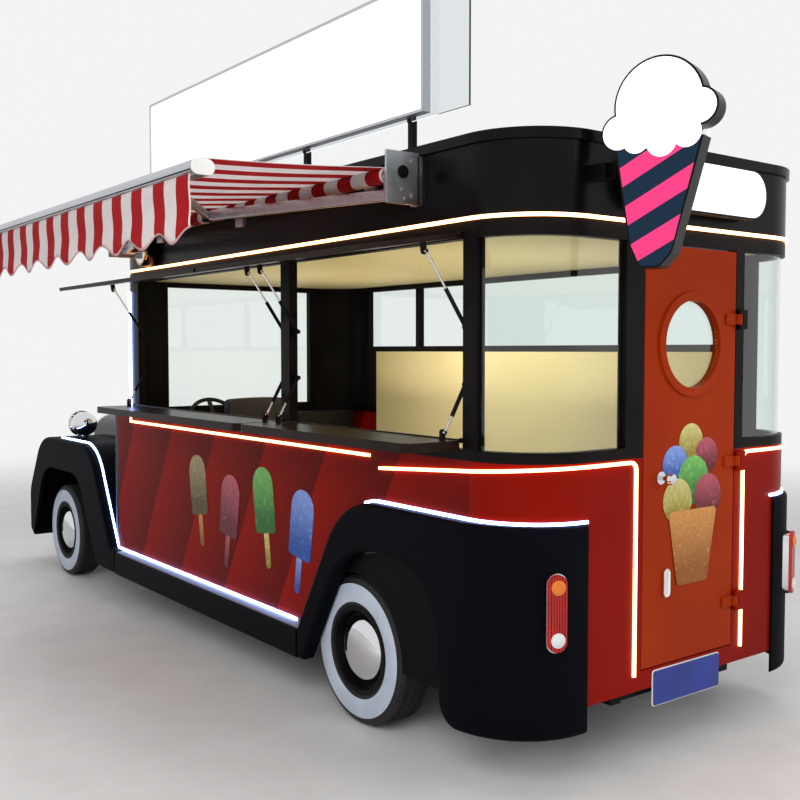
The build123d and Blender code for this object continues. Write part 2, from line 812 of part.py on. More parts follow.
# Signs

def sign_board():
    """The long clear board over the serving side."""
    return block(board_x, (sign_y - 5, sign_y + 5), sign_z)


def roof_sign():
    """The lit panel in front of the clear board."""
    return block(sign_x, (sign_y + 5, sign_y + 45), (sign_z[0] + 20, sign_z[1] - 20))


def sign_posts():
    """Posts behind the clear board, each held by two arms on the parapet's inner face."""
    back = sign_y - 5
    shapes = []
    for x in post_places:
        post = block((x - 15, x + 15), (back - 30, back), (2380, sign_z[1] - 60))
        for z in (2400, 2580):
            post += block((x - 15, x + 15), (back - 1, half_width - parapet_wall), (z - 15, z + 15))
        shapes.append(post)
    return together(shapes)


def cone_outline():
    """A scoop with a lobe on each side over a tapered cone, seen from the serving side's rear."""
    scoop = Pos(0, 2727) * Circle(178) + Pos(-158, 2697) * Circle(72) + Pos(157, 2634) * Circle(73)
    points = [(176, 2590), (-176, 2590), (-60, 2165), (-10, 2112), (70, 2112), (112, 2200)]
    return scoop + make_face(FilletPolyline(*points, radius=[1, 1, 60, 25, 25, 80], close=True))


def rear_signs():
    """The pill-shaped sign on the rear of the parapet and the cone sign on its bracket."""
    plane = Plane(origin=(-75, 0, 2497), x_dir=(0, -1, 0), z_dir=(-1, 0, 0))
    pill = extrude(plane * RectangleRounded(920, 225, 110), -55)
    mount = block((-25, 0), (-300, 300), (2470, 2520)) - upper_slab(2000, 3000)
    mount = mount - upper_slab(parapet_top - rim_height - 1, parapet_top + 1, rim_out)
    face = Plane(origin=(-295, 588, 0), x_dir=(0.957, 0.291, 0), z_dir=(0.291, -0.957, 0))
    arm = beam((-90, 620, 2500), (30, 620, 2500), 60, 60) - upper_slab(2000, 3000)
    return together([pill + mount, extrude(face * cone_outline(), 80) + arm])


# Inside

def inner_panels():
    """Lining of the far side, the ceiling, and the worktop behind the serving side."""
    inside = half_width - frame_wall
    lining = block((400, 3600), (-inside, -inside + lining_thick), (floor_top, far_rail_top - 40))
    lining -= mirrored(wheel_box(0, 6))
    worktop = block((400, 3000), (worktop_edge, inside - 1), (worktop_top - 40, worktop_top))
    front = block((1700, 3000), (worktop_edge, worktop_edge + 20), (floor_top, worktop_top - 40))
    low = header_top - roof_thick - lining_thick
    ceiling = upper_slab(low, low + lining_thick, -frame_wall - 1)
    return together([lining, ceiling, worktop + front])


def driver_seat():
    """Seat and back on a box."""
    shape = block((3150, 3550), (150, 620), (floor_top, 760)) + block((3130, 3600), (140, 630), (760, 880))
    return shape + block((3080, 3200), (140, 630), (800, 1500))


def steering_wheel():
    """Wheel rim, spokes and shaft on the axis from the dashboard towards the driver."""
    ring = Torus(190, 14) + Cylinder(38, 40) + Box(370, 30, 12) + Box(30, 370, 12)
    shaft = Pos(0, 0, -130) * Cylinder(14, 240)
    return Pos(*steering_centre) * Rot(0, -shaft_tilt, 0) * (ring + shaft)


def dashboard():
    """The shelf under the windscreen with the bearing of the steering shaft."""
    shape = block((3900, lower_length - wall), (-900, 900), (1150, belt_top - 21))
    place = Pos(*steering_centre) * Rot(0, -shaft_tilt, 0) * Pos(0, 0, -190)
    return shape + place * Cylinder(30, 60) - place * Cylinder(14 + running_clearance, 200)


flap_rest = -flap_droop
nodes = {
    "chassis_frame": chassis_frame(),
    "axles": axles(),
    "knuckle_left": knuckle(),
    "knuckle_right": mirrored(knuckle()),
    "floor_pan": floor_pan(),
    "battery_block": battery_block(),
    "side_panels": side_panels(),
    "rear_panels": rear_panels(),
    "cowl": cowl(),
    "left_frame": left_frame(),
    "right_frame": right_frame(),
    "end_frames": end_frames(),
    "corner_glass": together(panes()[:2]),
    "window_glass": together(panes()[2:]),
    "roof_deck": roof_deck(),
    "parapet": parapet(),
    "warm_lights": warm_lights(),
    "cool_lights": cool_lights(),
    "rear_fenders": rear_fenders(),
    "front_fenders": front_fenders(),
    "running_boards": running_boards(),
    "hood": hood(),
    "front_trim": front_trim(),
    "front_lamps": front_lamps(),
    "tail_lamps": tail_lamps(),
    "number_plate": number_plate(),
    "door": door(),
    "door_glass": door_glass(),
    "door_fittings": door_fittings(),
    "awning_frame": awning_frame(),
    "awning_cloth": awning_cloth(),
    "sign_board": sign_board(),
    "sign_posts": sign_posts(),
    "roof_sign": roof_sign(),
    "rear_signs": rear_signs(),
    "inner_panels": inner_panels(),
    "driver_seat": driver_seat(),
    "dashboard": dashboard(),
    "steering_wheel": steering_wheel(),
}
for end, x in (("rear", rear_axle_x), ("front", front_axle_x)):
    for side in ("left", "right"):
        nodes["tyre_" + end + "_" + side] = wheel_piece(tyre(), x, side == "right")
        nodes["rim_" + end + "_" + side] = wheel_piece(rim(), x, side == "right")
for name in panel_spans:
    nodes["flap_" + name] = flap(name)
    nodes["shelf_" + name] = shelf(name)
    for number, part in enumerate(("tubes", "rods")):
        nodes["flap_" + part + "_" + name] = struts(flap_strut, flap_hinge, flap_rest, -1, name, number)
        nodes["shelf_" + part + "_" + name] = struts(shelf_strut, shelf_hinge, 0, 1, name, number)

# The origin goes to the middle of the footprint
box = Compound([shape for shape in nodes.values()]).bounding_box()
middle_x = (box.min.X + box.max.X) / 2
middle_y = (box.min.Y + box.max.Y) / 2
os.makedirs("parts", exist_ok=True)
for name, shape in nodes.items():
    export_step(Pos(-middle_x, -middle_y, -box.min.Z) * shape, "parts/" + name + ".step")
print("nodes", len(nodes), "size", round(box.size.X), round(box.size.Y), round(box.size.Z))
print("shift", middle_x, middle_y, box.min.Z)
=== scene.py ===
# %% [markdown]
# # Ice cream truck
# A small bus-shaped truck that sells ice cream: round corners, a serving side with flaps and counter
# shelves, pontoon fenders, whitewall tyres, a striped awning and lit strips along every edge.
# The hard shapes come ready-made from the CAD frame. This script gives them their finishes, adds tyre
# tread, cloth, printed motifs, lenses and trim, and makes the awning, tail lamps and seat in more detail.

# %% Load the frame
import math

import bmesh
import bpy
from mathutils import Matrix, Vector


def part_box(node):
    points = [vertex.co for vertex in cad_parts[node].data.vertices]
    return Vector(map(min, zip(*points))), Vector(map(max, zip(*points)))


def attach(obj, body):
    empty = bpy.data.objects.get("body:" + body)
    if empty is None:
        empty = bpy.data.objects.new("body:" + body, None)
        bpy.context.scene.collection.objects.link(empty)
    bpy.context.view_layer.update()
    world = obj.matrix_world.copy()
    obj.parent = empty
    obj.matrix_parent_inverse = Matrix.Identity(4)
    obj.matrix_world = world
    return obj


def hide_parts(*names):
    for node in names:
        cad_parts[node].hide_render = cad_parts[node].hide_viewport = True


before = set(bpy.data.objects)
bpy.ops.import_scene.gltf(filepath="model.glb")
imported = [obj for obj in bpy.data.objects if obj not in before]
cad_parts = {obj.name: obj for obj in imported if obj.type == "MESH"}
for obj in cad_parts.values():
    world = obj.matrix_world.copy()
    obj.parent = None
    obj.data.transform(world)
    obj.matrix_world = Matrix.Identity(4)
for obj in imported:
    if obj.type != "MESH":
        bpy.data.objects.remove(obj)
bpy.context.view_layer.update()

print("frame loaded:", len(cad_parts), "parts")

# %% [markdown]
# ## Places
# Measures are taken from the truck's rear wall, its centreline and the ground, in millimetres. The roof
# deck, which starts 50 mm in front of the rear wall, tells where those are in the frame.

# %% From truck millimetres to frame metres
deck_margin = 0.050
deck_low, deck_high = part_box("roof_deck")
rear_wall = deck_low.x - deck_margin
centreline = (deck_low.y + deck_high.y) / 2


def new_object(name, data):
    """An object in the scene."""
    thing = bpy.data.objects.new(name, data)
    bpy.context.scene.collection.objects.link(thing)
    return thing


def at(x, y, z):
    """A point given in millimetres from the rear wall, the centreline and the ground."""
    return Vector((rear_wall + x / 1000, centreline + y / 1000, z / 1000))


half_width = 974
sides = {"left": 1, "right": -1}
print("rear wall at", round(rear_wall, 3), "centreline at", round(centreline, 3))

# %% [markdown]
# ## Camera
# The photograph is taken from behind the left rear corner, at the height of a tall person's eyes.
# The position and the lens were solved from straight lines on the body, so they are plain numbers here.

# %% Place the camera
camera = new_object("camera", bpy.data.cameras.new("camera"))
camera.location = at(-2784, 3689, 1798)
heading = 0.647791
dip = 0.048848
level_share = math.cos(dip)
line_of_sight = Vector((math.cos(heading) * level_share, -math.sin(heading) * level_share, -math.sin(dip)))
camera.rotation_euler = line_of_sight.to_track_quat("-Z", "Y").to_euler()
camera.data.sensor_width = 36
camera.data.lens = 45.58
camera.data.clip_end = 200
bpy.context.scene.camera = camera
print("camera at", [round(c, 2) for c in camera.location])

# %% [markdown]
# ## Node materials in general
# A Blender material is a small graph of nodes. One function adds a node, sets its fields and fills its
# sockets, with values or with outputs of other nodes. Colours are hex codes, which one function turns
# into the linear values that light needs. The rest are the steps of a pattern.

# %% Helpers for materials
def colour(code):
    """Linear RGBA from an sRGB hex code such as #8a1208."""
    values = [int(code[i:i + 2], 16) / 255 for i in (1, 3, 5)]
    return [v / 12.92 if v <= 0.04045 else ((v + 0.055) / 1.055) ** 2.4 for v in values] + [1.0]


def fill_sockets(node, sockets):
    """Gives each socket, named or numbered, a value or another node's output."""
    for name, value in sockets.items():
        if isinstance(value, bpy.types.NodeSocket):
            node.id_data.links.new(value, node.inputs[name])
        else:
            node.inputs[name].default_value = value


def add_node(material, kind, sockets=None, **fields):
    """Adds a node to a material and sets it up. Its kind is Blender's name for it without ShaderNode."""
    node = material.node_tree.nodes.new("ShaderNode" + kind)
    for name, value in fields.items():
        setattr(node, name, value)
    fill_sockets(node, sockets or {})
    return node


def new_material(name, base, roughness, metallic=0.0, shine=0.5):
    """A material with its Principled shader. Shine is the strength of the plain reflections."""
    material = bpy.data.materials.new(name)
    material.use_nodes = True
    shader = material.node_tree.nodes["Principled BSDF"]
    fill_sockets(shader, {"Base Color": colour(base), "Metallic": metallic, "Roughness": roughness,
                          "Specular IOR Level": shine})
    material.diffuse_color = colour(base)
    return material, shader


def object_point(material):
    """The point on the piece, in metres."""
    return add_node(material, "TexCoord").outputs["Object"]


def split(material, vector):
    """The X, Y and Z of a vector."""
    return add_node(material, "SeparateXYZ", {0: vector}).outputs


def calculate(material, operation, *values):
    """The result of one operation on numbers and outputs."""
    return add_node(material, "Math", dict(enumerate(values)), operation=operation).outputs[0]


def rescale(material, value, low, high, start=0.0, end=1.0, kind="LINEAR"):
    """A value between low and high, brought to between start and end."""
    return add_node(material, "MapRange", {0: value, 1: low, 2: high, 3: start, 4: end},
                    interpolation_type=kind).outputs[0]


def mix_colours(material, share, first, second):
    """Two colours, as hex codes or outputs, mixed by a share from 0 to 1."""
    ends = [colour(end) if isinstance(end, str) else end for end in (first, second)]
    return add_node(material, "Mix", {0: share, 6: ends[0], 7: ends[1]}, data_type="RGBA").outputs[2]


def object_noise(material, scale, detail=3.0):
    """Noise that is fixed to the piece, with scale in features per metre."""
    return add_node(material, "TexNoise", {
        "Vector": object_point(material), "Scale": scale, "Detail": detail}).outputs[0]


def add_bump(material, shader, height, strength, distance):
    """Turns a grey pattern into small hills."""
    bump = add_node(material, "Bump", {"Height": height, "Strength": strength, "Distance": distance})
    fill_sockets(shader, {"Normal": bump.outputs["Normal"]})


def tint(material, shader, factor, dark, light, low=0.3, high=0.7):
    """Colours a shader with two colours, mixed by a grey pattern between its low and high values."""
    mixed = mix_colours(material, rescale(material, factor, low, high), dark, light)
    fill_sockets(shader, {"Base Color": mixed})
    return mixed


def bands(material, vector, lean, direction, profile, scale, phase=0.0):
    """A row of bands along an axis, leaned over by three angles."""
    leaning = add_node(material, "Mapping", {"Vector": vector, "Rotation": lean})
    return add_node(material, "TexWave", {
        "Vector": leaning.outputs[0], "Scale": scale, "Phase Offset": phase},
        bands_direction=direction, wave_profile=profile).outputs["Fac"]


def coat(name, dark, light, roughness, drift, grain, relief, shine=0.5):
    """A skin whose tone drifts between two colours, with a fine relief. Drift and grain are noises
    (features per metre, detail), relief is a bump (strength, metres)."""
    material, shader = new_material(name, light, roughness, shine=shine)
    tint(material, shader, object_noise(material, *drift), dark, light)
    add_bump(material, shader, object_noise(material, *grain), *relief)
    return material, shader


print("material helpers ready")

# %% [markdown]
# ## Painted steel
# The body is sheet steel with sprayed enamel: colour below, clear lacquer above, which is the shader's
# coat layer. Lacquer never dries quite flat, and the faint ripple, called orange peel, makes reflections
# look like paint. The running boards are near-black. Their upper faces, picked out by the surface's
# normal, are painted a pale bluish grey: a painted glow of the cool strip that shines down on them.

# %% Red, black and cream enamel
orange_peel, peel_relief = (330, 1.0), (0.08, 0.0006)


def enamel(name, dark, light, roughness, lacquer, shine=0.07):
    """Sprayed enamel: a slow drift of colour, orange peel of about 3 mm, and a lacquer coat."""
    material, shader = coat(name, dark, light, roughness, (1.1, 2.0), orange_peel, peel_relief, shine)
    fill_sockets(shader, {"Coat Weight": lacquer, "Coat Roughness": 0.05})
    return material


red_enamel = enamel("red_sprayed_enamel", "#760c02", "#881103", 0.35, 0.02, 0.05)
door_enamel = enamel("door_red_sprayed_enamel", "#8a2406", "#9c3208", 0.38, 0.02, 0.05)
black_enamel = enamel("black_sprayed_enamel", "#030305", "#08080b", 0.28, 0.04, 0.1)
satin_black = enamel("satin_black_fender_enamel", "#040509", "#090a10", 0.6, 0.0, 0.04)
cream_laminate = enamel("cream_wall_laminate", "#e2d7a4", "#ece3b6", 0.5, 0.0)
glow_painted_board, board_shader = new_material("black_board_with_painted_strip_glow", "#05060a", 0.6, shine=0.06)
# The upper faces are painted a pale bluish grey: a painted glow of the cool strip that shines down on them.
facing = split(glow_painted_board, add_node(glow_painted_board, "NewGeometry").outputs["Normal"])
tint(glow_painted_board, board_shader, facing["Z"], "#05060a", "#8f95a8", 0.80, 0.95)
print("enamels:", red_enamel.name, black_enamel.name)

# %% [markdown]
# The side panels carry a quiet printed pattern of rays: each ray starts dark at a sharp edge and fades to
# the lighter red of the next. A wave texture with a saw profile is just such a row of ramps, and a Mapping
# node leans it over. Behind the wheel the panel is the inside of the wheel house and is plain black, so
# the print ends at a slanted line there.

# %% Rays on the side panels
house_slant, house_line, house_top = 0.577, rear_wall + 1.755, 1.0


def ray_print(name):
    """Red enamel under a vinyl of long slanted rays, each fading from a dark edge to a light one."""
    material, shader = new_material(name, "#8c1206", 0.5, shine=0.06)
    point = object_point(material)
    rays = bands(material, point, (0.0, 0.5, 0.0), "X", "SAW", 0.6)
    rays_red = tint(material, shader, rays, "#5e0b05", "#8e1203", 0.0, 1.0)
    parts = split(material, point)
    slant = calculate(material, "MULTIPLY_ADD", parts["Z"], house_slant, parts["X"])
    before_wheel = calculate(material, "GREATER_THAN", slant, house_line)
    above_wheel = calculate(material, "GREATER_THAN", parts["Z"], house_top)
    printed = calculate(material, "MAXIMUM", before_wheel, above_wheel)
    fill_sockets(shader, {"Base Color": mix_colours(material, printed, "#040405", rays_red),
                          "Coat Weight": 0.02, "Coat Roughness": 0.06})
    add_bump(material, shader, object_noise(material, *orange_peel), *peel_relief)
    return material


ray_red = ray_print("red_vinyl_with_rays")
print("side print:", ray_red.name)

# %% [markdown]
# ## Metals
# Chrome is a cool mirror with almost no roughness. Anodised aluminium is softer, with fine lines along
# the direction in which it was drawn. Powder coat on steel is a plastic skin with a fine pebbled surface.

# %% Chrome, aluminium and powder coat
def bright_metal(name, base, roughness, lines=(6, 6, 6)):
    """A bare metal. Lines are the (x, y, z) scales of its noise, unequal for drawn or brushed metal."""
    material, shader = new_material(name, base, roughness, metallic=1.0)
    stretch = add_node(material, "Mapping", {"Vector": object_point(material), "Scale": lines})
    noise = add_node(material, "TexNoise", {"Vector": stretch.outputs[0], "Scale": 1.0, "Detail": 4.0})
    uneven = rescale(material, noise.outputs[0], 0.3, 0.7, roughness * 0.7, roughness * 1.5)
    fill_sockets(shader, {"Roughness": uneven})
    return material


def powder_coat(name, dark, light, roughness):
    """Baked powder paint with its fine pebble."""
    return coat(name, dark, light, roughness, (4, 3.0), (900, 1.0), (0.12, 0.0004), 0.08)[0]


chrome = bright_metal("chrome_plate", "#dcdde0", 0.06)
anodised = bright_metal("anodised_aluminium", "#c3c5ca", 0.32, (2, 160, 160))
zinc = bright_metal("galvanised_steel", "#b4b9bd", 0.42)
brass = bright_metal("brass_lamp_ring", "#c79a4e", 0.2)
floor_metal = bright_metal("aluminium_floor_sheet", "#8d8e90", 0.45, (3, 90, 90))
frame_coat = powder_coat("black_powder_coat_on_frames", "#080707", "#120f0f", 0.42)
chassis_coat = powder_coat("chassis_powder_coat", "#0b0b0c", "#1b1b1d", 0.6)
panel_coat = powder_coat("dark_brown_powder_coat_on_flaps", "#1a1210", "#261b17", 0.3)
battery_coat = powder_coat("grey_battery_case", "#26282b", "#33363a", 0.55)
roof_coat = powder_coat("grey_roof_sheet", "#6d6f70", "#7c7e7f", 0.6)
print("metals:", chrome.name, anodised.name, frame_coat.name)

# %% [markdown]
# ## Glass, light and plastics
# Window glass is clear and faintly green. The strips are LED tape in a milky channel that glows so
# strongly that its middle burns out to white, and its tint shows in the light on the paint beside it.
# The cool channel is dark where it runs on inside the rear wheel house.

# %% Clear and glowing materials
def clear_pane(name, base, roughness, ior):
    """A transparent sheet."""
    material, shader = new_material(name, base, roughness)
    fill_sockets(shader, {"Transmission Weight": 1.0, "IOR": ior})
    return material


def glowing(name, base, glow, strength):
    """A milky plastic lit from inside."""
    material, shader = new_material(name, base, 0.35)
    fill_sockets(shader, {"Emission Color": colour(glow), "Emission Strength": strength})
    return material


window_glass = clear_pane("tempered_window_glass", "#f1f8f5", 0.0, 1.45)
acrylic_board = clear_pane("clear_acrylic_board", "#e9eef0", 0.02, 1.49)
warm_strip = glowing("warm_led_channel", "#f5dcc0", "#ffb272", 6.5)
lit_face = glowing("lit_white_acrylic", "#e6e8ea", "#f4f8ff", 0.75)
cool_power, dark_below, dark_behind = 12.0, 0.9, rear_wall + 1.6
cool_strip = glowing("cool_led_channel", "#dfe6f7", "#9db8ff", cool_power)
cool_shader = cool_strip.node_tree.nodes["Principled BSDF"]
strip_parts = split(cool_strip, object_point(cool_strip))
high_up = calculate(cool_strip, "GREATER_THAN", strip_parts["Z"], dark_below)
past_wheel = calculate(cool_strip, "GREATER_THAN", strip_parts["X"], dark_behind)
lit = calculate(cool_strip, "MAXIMUM", high_up, past_wheel)
tint(cool_strip, cool_shader, lit, "#050506", "#dfe6f7")
fill_sockets(cool_shader, {"Emission Strength": calculate(cool_strip, "MULTIPLY", lit, cool_power)})
print("glass and light:", window_glass.name, warm_strip.name, lit_face.name)

# %% Rubber, leatherette and moulded plastic
def moulded(name, dark, light, roughness, grain, depth):
    """Moulded rubber or plastic with a grain of so many features per metre."""
    return coat(name, dark, light, roughness, (9, 3.0), (grain, 2.0), (0.25, depth))[0]


tyre_rubber = moulded("tyre_rubber", "#101012", "#1c1c1e", 0.72, 500, 0.0006)
whitewall = moulded("whitewall_rubber", "#b2bccd", "#c2cbda", 0.5, 400, 0.0003)
leatherette = moulded("black_leatherette", "#141112", "#211c1c", 0.5, 450, 0.0008)
dash_plastic = moulded("grained_dash_plastic", "#121213", "#1b1b1d", 0.6, 700, 0.0005)
amber_lens = moulded("amber_lamp_lens", "#d06a0e", "#ee8a1c", 0.12, 220, 0.0012)
red_lens = moulded("red_lamp_lens", "#9a0c06", "#b8140a", 0.12, 220, 0.0012)
clear_lens = moulded("frosted_lamp_lens", "#c9ccd0", "#e2e5e8", 0.15, 220, 0.0012)
plate_blue = moulded("blue_plate_enamel", "#0c2578", "#123092", 0.35, 60, 0.0002)
white_plastic = moulded("white_moulded_plastic", "#dcdcd8", "#e9e9e6", 0.4, 300, 0.0002)
print("rubber and plastics:", tyre_rubber.name, whitewall.name)

# %% [markdown]
# ## Finishes on the CAD parts
# Each CAD part gets its finish by name. Its mesh stays as it is.

# %% Hand out the finishes
finishes = [
    (ray_red, "side_panels"), (red_enamel, "rear_panels"), (door_enamel, "door"),
    (black_enamel, "cowl parapet hood rear_signs"), (satin_black, "rear_fenders front_fenders"),
    (glow_painted_board, "running_boards"), (frame_coat, "left_frame right_frame end_frames sign_posts"),
    (window_glass, "window_glass corner_glass door_glass"), (acrylic_board, "sign_board"),
    (roof_coat, "roof_deck"), (cream_laminate, "inner_panels"), (plate_blue, "number_plate"),
    (warm_strip, "warm_lights"), (cool_strip, "cool_lights"), (lit_face, "roof_sign"),
    (floor_metal, "floor_pan"), (chassis_coat, "chassis_frame axles knuckle_left knuckle_right"),
    (battery_coat, "battery_block"), (chrome, "front_trim front_lamps door_fittings"),
    (anodised, "awning_frame"), (leatherette, "driver_seat"), (dash_plastic, "dashboard steering_wheel"),
]
for end in ("rear", "front"):
    finishes += [(chassis_coat, f"rim_{end}_left rim_{end}_right flap_tubes_{end} shelf_tubes_{end}"),
                 (panel_coat, f"flap_{end} shelf_{end}"), (chrome, f"flap_rods_{end} shelf_rods_{end}")]
for material, names in finishes:
    for name in names.split():
        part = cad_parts[name].data
        part.materials.clear()
        part.materials.append(material)
print("finishes given to", sum(len(names.split()) for _, names in finishes), "parts")

# %% [markdown]
# ## Making new pieces
# Every new piece starts as a bmesh, Blender's editable mesh, made round the origin. One function puts it
# in its place, gives it its material and fixes it to the body that carries it. Round things are a
# profile that is spun round an axis.

# %% From bmesh to a piece
def move(mesh, step, verts=None):
    """Moves a bmesh, or some of its points, by a step in metres."""
    bmesh.ops.translate(mesh, vec=step, verts=verts or mesh.verts)


def finish_piece(name, mesh, material, centre=(0, 0, 0), turn=None, mirror_y=False, bevel=0.0,
                 body="truck"):
    """A bmesh as a finished piece on a body of the truck, turned or mirrored and then moved to its place."""
    if turn:
        bmesh.ops.transform(mesh, matrix=turn, verts=mesh.verts)
    if mirror_y:
        bmesh.ops.scale(mesh, vec=(1, -1, 1), verts=mesh.verts)
    move(mesh, centre)
    bmesh.ops.remove_doubles(mesh, verts=mesh.verts, dist=0.00001)
    bmesh.ops.recalc_face_normals(mesh, faces=mesh.faces)
    data = bpy.data.meshes.new(name)
    mesh.to_mesh(data)
    mesh.free()
    data.materials.append(material)
    piece = new_object(name, data)
    data.polygons.foreach_set("use_smooth", [True] * len(data.polygons))
    data.set_sharp_from_angle(angle=math.radians(35))
    if bevel:
        edge = piece.modifiers.new("rounded edges", "BEVEL")
        edge.width = bevel
        edge.segments = 2
        edge.limit_method = "ANGLE"
    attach(piece, body)
    return piece


def turned(points, steps):
    """A bmesh spun about the Y axis from a profile of (along, radius) points in millimetres."""
    mesh = bmesh.new()
    verts = [mesh.verts.new((0.0, along / 1000, radius / 1000)) for along, radius in points]
    edges = [mesh.edges.new(pair) for pair in zip(verts, verts[1:])]
    bmesh.ops.spin(mesh, geom=verts + edges, cent=(0, 0, 0), axis=(0, 1, 0),
                   angle=math.tau, steps=steps, use_merge=True)
    bmesh.ops.remove_doubles(mesh, verts=mesh.verts, dist=0.00001)
    return mesh


print("piece helpers ready")

# %% [markdown]
# ## Tyres
# A cross-ply tyre with a broad white sidewall. The carcass is one profile turned round the axle. The
# tread is made of ribs that are cut into blocks: each face of a rib is inset and raised, which leaves
# the fine gaps between blocks that let water out.

# %% Turn the tyres and cut the tread
tread_half = [(3, 351), (5, 357), (40, 357), (42, 351), (48, 351), (50, 357), (72, 357), (90, 345), (97, 325)]
inner_wall = [(100, 300), (100, 262), (98, 240), (90, 214), (82, 205)]
white_wall = [(99, 321), (100, 319), (100, 262), (98, 240), (96, 231), (93, 229), (90, 214), (82, 205)]
tyre_profile = [(-y, radius) for y, radius in reversed(tread_half + inner_wall)] + tread_half + white_wall
axle_places = {"rear": 1165, "front": 5266}
wheel_y, wheel_z = 862, 361
wheels = [(f"{end}_{side}", at(x, sign * wheel_y, wheel_z), sign < 0)
          for end, x in axle_places.items() for side, sign in sides.items()]
tread_steps = 72
rib_radius = 0.3555
white_from, white_to = 0.230, 0.3205
for wheel, centre, mirrored in wheels:
    mesh = turned(tyre_profile, tread_steps)
    ribs = [f for f in mesh.faces if abs(f.normal.y) < 0.2
            and (f.calc_center_median() * Vector((1, 0, 1))).length > rib_radius]
    bmesh.ops.inset_individual(mesh, faces=ribs, thickness=0.0024, depth=0.0038, use_even_offset=True)
    for face in mesh.faces:
        middle = face.calc_center_median()
        radius = math.hypot(middle.x, middle.z)
        face.material_index = 1 if middle.y > 0.09 and white_from < radius < white_to else 0
    piece = finish_piece(f"tyre_{wheel}_tread", mesh, tyre_rubber, centre, mirror_y=mirrored,
                         body="wheel_" + wheel)
    piece.data.materials.append(whitewall)
    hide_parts("tyre_" + wheel)
print("tyres:", tread_steps, "blocks round each rib")

# %% [markdown]
# ## Hub caps
# Pressed and chromed domes with a rolled edge, snapped into a black wheel. They are turned from one
# profile that lies a hair outside the wheel's own dome.

# %% Turn the hub caps
cap_profile = [(44, 156), (60, 159), (66, 157), (74, 150), (83, 138), (90, 121), (96, 98), (100, 68),
               (102.6, 34), (103.4, 0)]
for wheel, centre, mirrored in wheels:
    finish_piece("hub_cap_" + wheel, turned(cap_profile, 64), chrome, centre, mirror_y=mirrored,
                 body="wheel_" + wheel)
print("hub caps turned:", len(wheels))

# %% [markdown]
# ## The awning's cloth
# Acrylic canvas is woven in long stripes, 110 mm red and 110 mm white. One sheet is wound on the roller
# and runs out to the front bar. A second one, the valance, hangs from the bar's lower edge and ends in
# waves about 300 mm long with a pale binding. Each sheet is drawn as a profile across the truck and
# extruded along it in short steps, so that its points can be moved afterwards.

# %% Extrude a sheet
cloth_rear, cloth_front = 757, 3634
awning_rear = at(cloth_rear, 0, 0).x
awning_front = at(cloth_front, 0, 0).x
cloth_span = awning_front - awning_rear
stripe_period = 0.2195
first_stripe = 0.044
cloth_steps = 150


def hang_sheet(profile):
    """A sheet from (y, z) points in millimetres, with a UV map in metres: along the truck, down the cloth."""
    mesh = bmesh.new()
    row = [mesh.verts.new(Vector((awning_rear, at(0, y, z).y, z / 1000))) for y, z in profile]
    edges = [mesh.edges.new(pair) for pair in zip(row, row[1:])]
    travel = [0.0]
    for upper, lower in zip(row, row[1:]):
        travel.append(travel[-1] + (upper.co - lower.co).length)
    heights = [(v.co.y, v.co.z, t) for v, t in zip(row, travel)]
    for step in range(cloth_steps):
        made = bmesh.ops.extrude_edge_only(mesh, edges=edges)["geom"]
        new = [v for v in made if isinstance(v, bmesh.types.BMVert)]
        edges = [e for e in made if isinstance(e, bmesh.types.BMEdge) and all(v in new for v in e.verts)]
        move(mesh, (cloth_span / cloth_steps, 0, 0), new)
    cloth_map = mesh.loops.layers.uv.new("cloth")
    for face in mesh.faces:
        for loop in face.loops:
            point = loop.vert.co
            down = min(heights, key=lambda h: (h[0] - point.y) ** 2 + (h[1] - point.z) ** 2)[2]
            loop[cloth_map].uv = (point.x - awning_rear, down)
    return mesh, travel[-1]


print("awning spans", round(cloth_span, 3), "m")

# %% [markdown]
# The stripes come from the UV map: the distance along the truck, divided by the stripe period, leaves a
# fraction that is red below a half and white above. The weave is drawn in squares of 3 mm, just enough
# to take the shine off the cloth. Canvas lets light through, which is why its underside isn't dark.

# %% Striped canvas
def canvas(name, binding_from):
    """Woven acrylic in red and white stripes, with a pale binding past a distance down the cloth."""
    material, shader = new_material(name, "#c3121c", 0.85, shine=0.25)
    spot = add_node(material, "UVMap", uv_map="cloth").outputs[0]
    parts = split(material, spot)
    shifted = calculate(material, "ADD", parts["X"], first_stripe)
    saw = calculate(material, "FRACT", calculate(material, "DIVIDE", shifted, stripe_period))
    away = calculate(material, "ABSOLUTE", calculate(material, "SUBTRACT", saw, 0.5))
    fade = object_noise(material, 5, 3.0)
    red = mix_colours(material, fade, "#b80a16", "#cf1224")
    pale = mix_colours(material, fade, "#ebe5e6", "#f7f3f3")
    stripes = mix_colours(material, rescale(material, away, 0.240, 0.248), red, pale)
    edge = rescale(material, parts["Y"], binding_from, binding_from + 0.001)
    bound = mix_colours(material, edge, stripes, "#efc9cc")
    through = add_node(material, "BsdfTranslucent", {"Color": bound})
    cloth = add_node(material, "MixShader", {0: 0.5, 1: shader.outputs[0], 2: through.outputs[0]})
    threads = add_node(material, "Mapping", {"Vector": spot, "Scale": (330, 330, 1)})
    weave = add_node(material, "TexChecker", {"Vector": threads.outputs[0], "Scale": 1.0})
    add_bump(material, shader, weave.outputs["Fac"], 0.15, 0.0003)
    fill_sockets(shader, {"Base Color": bound, "Sheen Weight": 0.1})
    fill_sockets(material.node_tree.nodes["Material Output"], {"Surface": cloth.outputs[0]})
    return material


def hang_up(name, mesh, material, length):
    """A finished sheet, given its thickness, whose size is printed."""
    area = sum(face.calc_area() for face in mesh.faces)
    sheet = finish_piece(name, mesh, material)
    thickness = sheet.modifiers.new("cloth thickness", "SOLIDIFY")
    thickness.thickness = 0.0015
    thickness.offset = 0.0
    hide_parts("awning_cloth")
    print(name, round(cloth_span, 2), "m by", round(length, 2), "m")


print("canvas ready")

